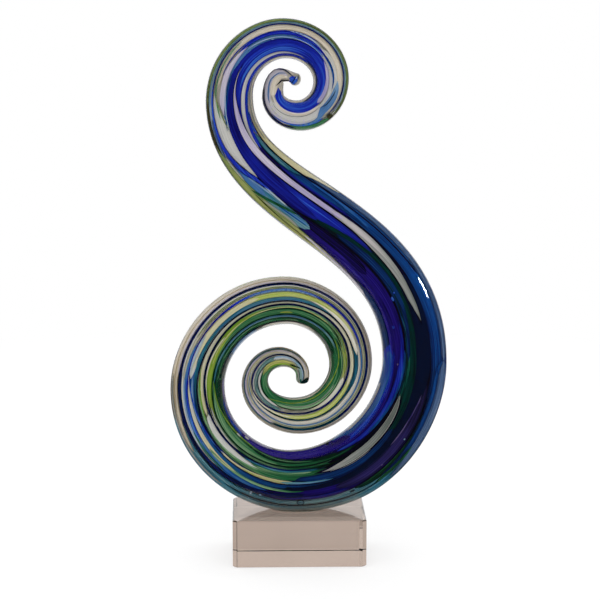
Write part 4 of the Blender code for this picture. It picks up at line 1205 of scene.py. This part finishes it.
def bond_material():
    """Cured clear adhesive, slightly clouded."""
    material, wire = new_material("bond_clear_adhesive")
    cloud = wire.noise(wire.coordinates("Object"), BOND_CLOUD_SCALE, 2.0)
    return dress(material, {
        "Base Color": cloud.blend(*(linear(tint) for tint in BOND_TINTS)),
        "Roughness": cloud * BOND_ROUGHNESS_DRIFT + BOND_ROUGHNESS,
        "IOR": BOND_INDEX,
        "Transmission Weight": BOND_CLEARNESS,
    })


def lay_strands(rod, materials, laid, strands, backs, node):
    """Lays a node's strands on the front, the back or both, and tells how many are laid."""
    made = StrandMesh(rod, laid)
    for strand in strands:
        for back in backs:
            made.add(strand, back)
    finishes = [materials[finish] for finish in made.finishes]
    add_piece(node + "_strands", made.mesh(node), finishes, node)
    return made.laid


def build_strands(rod):
    materials = {finish: strand_material(finish) for finish in FINISHES}
    laid = 0
    for node, (slot, strands) in RIBBONS.items():
        laid = lay_strands(rod, materials, laid, strands, (False, True), node)
    for node, back in NAVY_BACKS.items():
        lay_strands(rod, materials, laid, NAVY_STRANDS, (back,), node)


def end_spaced(first, last, step):
    """Lengths from first to last, close together near both ends."""
    near = (np.arange(END_RINGS) / END_RINGS) ** 2 * END_RINGS_LENGTH
    middle = np.arange(first + END_RINGS_LENGTH, last - END_RINGS_LENGTH, step)
    return np.concatenate([first + near, middle, (last - near)[::-1]])


def swept_rod(rod, name, lengths, reach, sides):
    """A closed round rod along the centreline, with the grain kept on its points."""
    angles = np.linspace(0, math.tau, sides, endpoint=False) * np.ones((len(lengths), 1))
    reach = reach[:, None] * np.ones_like(angles)
    points = rod.points(lengths, reach, angles)
    points[..., 2] = np.maximum(points[..., 2], rod.seat)
    last = (len(lengths) - 1) * sides
    ends = [tuple(range(sides)), tuple(range(last, last + sides))]
    along = lengths[:, None] * np.ones_like(angles)
    grain = np.stack([along, angles * reach, np.zeros_like(angles)], axis=-1)
    return new_mesh(name, points, ring_faces(0, len(lengths), sides) + ends, grain=grain)


def build_scroll(rod):
    lengths = end_spaced(0.0, rod.total, CASING_RING_SPACING)
    casing = swept_rod(rod, "casing", lengths, rod.closed_radius(lengths), CASING_SIDES)
    add_piece("casing_clear", casing, [casing_material()], "clear_casing")
    lengths = end_spaced(CORE_END_COVER, rod.total - CORE_END_COVER, CORE_RING_SPACING)
    reach = rod.closed_radius(lengths) * CORE_REACH
    core = swept_rod(rod, "core", lengths, reach, CORE_SIDES)
    add_piece("core_clear", core, [core_material()], "core_rod")
    build_strands(rod)


def dress_plinth():
    """Gives the CAD's plinth and bond their finishes."""
    made = {"crystal_plinth": crystal_material(), "adhesive_bond": bond_material()}
    for name, material in made.items():
        for slot in bpy.data.objects[name].material_slots:
            slot.material = material


def seen_rays(wire):
    """Wires for rays that see the surroundings directly, in a reflection or through glass, and
    for rays that gather light for a coloured strand or the floor: each is 1 for such a ray."""
    names = ("Is Camera Ray", "Is Glossy Ray", "Is Transmission Ray", "Diffuse Depth")
    camera, glossy, through, depth = wire.node("ShaderNodeLightPath", {}, {}).outputs(*names)
    gathering = depth.clamped()
    looking = 1.0 - gathering
    through = through * looking
    return camera, glossy * looking * (1.0 - through), through, gathering


def surroundings(wire, forward, up, near=0.0, share=1.0):
    """How bright the floor or the air looks in each direction, its tint, and which rays look at
    it or gather its light. The camera sees white. Reflections are white only behind the object.
    Glass sees dimmer, warmer sides and a dark ceiling, and less dimming where it is near."""
    camera, glossy, through, gathering = seen_rays(wire)
    grazing = ((forward - GRAZING_START) * GRAZING_RISE).clamped()
    reflected = FRONT_GLOW + grazing * (1.0 - FRONT_GLOW)
    behind = ((forward - BEHIND_START) * SIDE_RISE).clamped()
    ceiling = ((up - CEILING_START) * CEILING_RISE).clamped()
    front = ((FRONT_END - forward) * SIDE_RISE).clamped() * (1.0 - ceiling)
    glow = SIDE_GLOW + near * NEAR_GLOW + (behind + front) * (1.0 - SIDE_GLOW)
    passed = glow.clamped() * share
    seen = camera + glossy * reflected + through * passed
    plain = (1.0 - through * (1.0 - passed)).clamped()
    tint = plain.blend(linear(SIDE_TINT), WHITE)
    return seen, tint, (camera + glossy + through).clamped(), gathering


def build_floor():
    mesh = bmesh.new()
    bmesh.ops.create_circle(mesh, cap_ends=True, segments=FLOOR_SEGMENTS, radius=FLOOR_RADIUS)
    data = bpy.data.meshes.new("studio_floor")
    mesh.to_mesh(data)
    mesh.free()
    floor = place_object("studio_floor", data)
    floor.location = (0, 0, -FLOOR_DROP)
    material, wire = new_material("studio_white_floor")
    dress(material, {
        "Base Color": FLOOR_COLOUR,
        "Roughness": FLOOR_ROUGHNESS,
        "Specular IOR Level": FLOOR_SHEEN,
    })
    place = wire.coordinates("Object")
    away = wire.node("ShaderNodeVectorMath", {"operation": "LENGTH"}, {0: place}, output="Value")
    _, forward, up = place.parted()
    far = ((away - FADE_START) / FADE_LENGTH).clamped()
    near = 1.0 - (away / NEAR_RADIUS).clamped()
    seen, tint, looking, _ = surroundings(wire, forward / away, up, near, FLOOR_SHARE)
    share = far * (1.0 - FLOOR_WHITENESS) + FLOOR_WHITENESS + (1.0 - seen)
    glow = wire.node("ShaderNodeEmission", {}, {"Color": tint, "Strength": seen})
    body = Wire(wire.tree, wire.tree.nodes["Principled BSDF"].outputs[0])
    mixed = wire.node("ShaderNodeMixShader", {}, {0: looking * share.clamped(), 1: body, 2: glow})
    wire.fill(wire.tree.nodes["Material Output"], {"Surface": mixed})
    data.materials.append(material)


def build_air():
    """World light: even for lighting the object, and seen as white surroundings."""
    world = bpy.data.worlds.new("studio_air")
    bpy.context.scene.world = world
    world.use_nodes = True
    wire = Wire(world.node_tree)
    _, forward, up = wire.coordinates("Generated").parted()
    seen, tint, _, gathering = surroundings(wire, forward, up)
    lit = gathering * (up * TOP_LIGHT + AIR_LIGHT)
    wire.fill(wire.tree.nodes["Background"], {"Color": tint, "Strength": seen + lit})


def add_lamp():
    """The strip softbox, turned upright to face its target."""
    data = bpy.data.lights.new("strip_softbox", "AREA")
    data.shape = "RECTANGLE"
    data.size, data.size_y = LAMP_SIZE
    data.energy = LAMP_POWER
    data.spread = LAMP_SPREAD
    lamp = place_object("strip_softbox", data)
    lamp.location = LAMP_PLACE
    lamp.rotation_euler = (LAMP_TARGET - LAMP_PLACE).to_track_quat("-Z", "Y").to_euler()


def add_camera():
    data = bpy.data.cameras.new("camera")
    data.lens = LENS_LENGTH
    data.sensor_width = SENSOR_WIDTH
    camera = place_object("camera", data)
    camera.location = SIGHT
    camera.rotation_euler = (math.pi / 2 + SIGHT_PITCH, 0, -SIGHT_YAW)
    bpy.context.scene.camera = camera


def build_studio():
    build_floor()
    build_air()
    add_lamp()
    add_camera()
    bpy.context.scene.view_settings.view_transform = "Standard"


build_studio()
build_scroll(Rod(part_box("clear_casing")[0][2]))
dress_plinth()
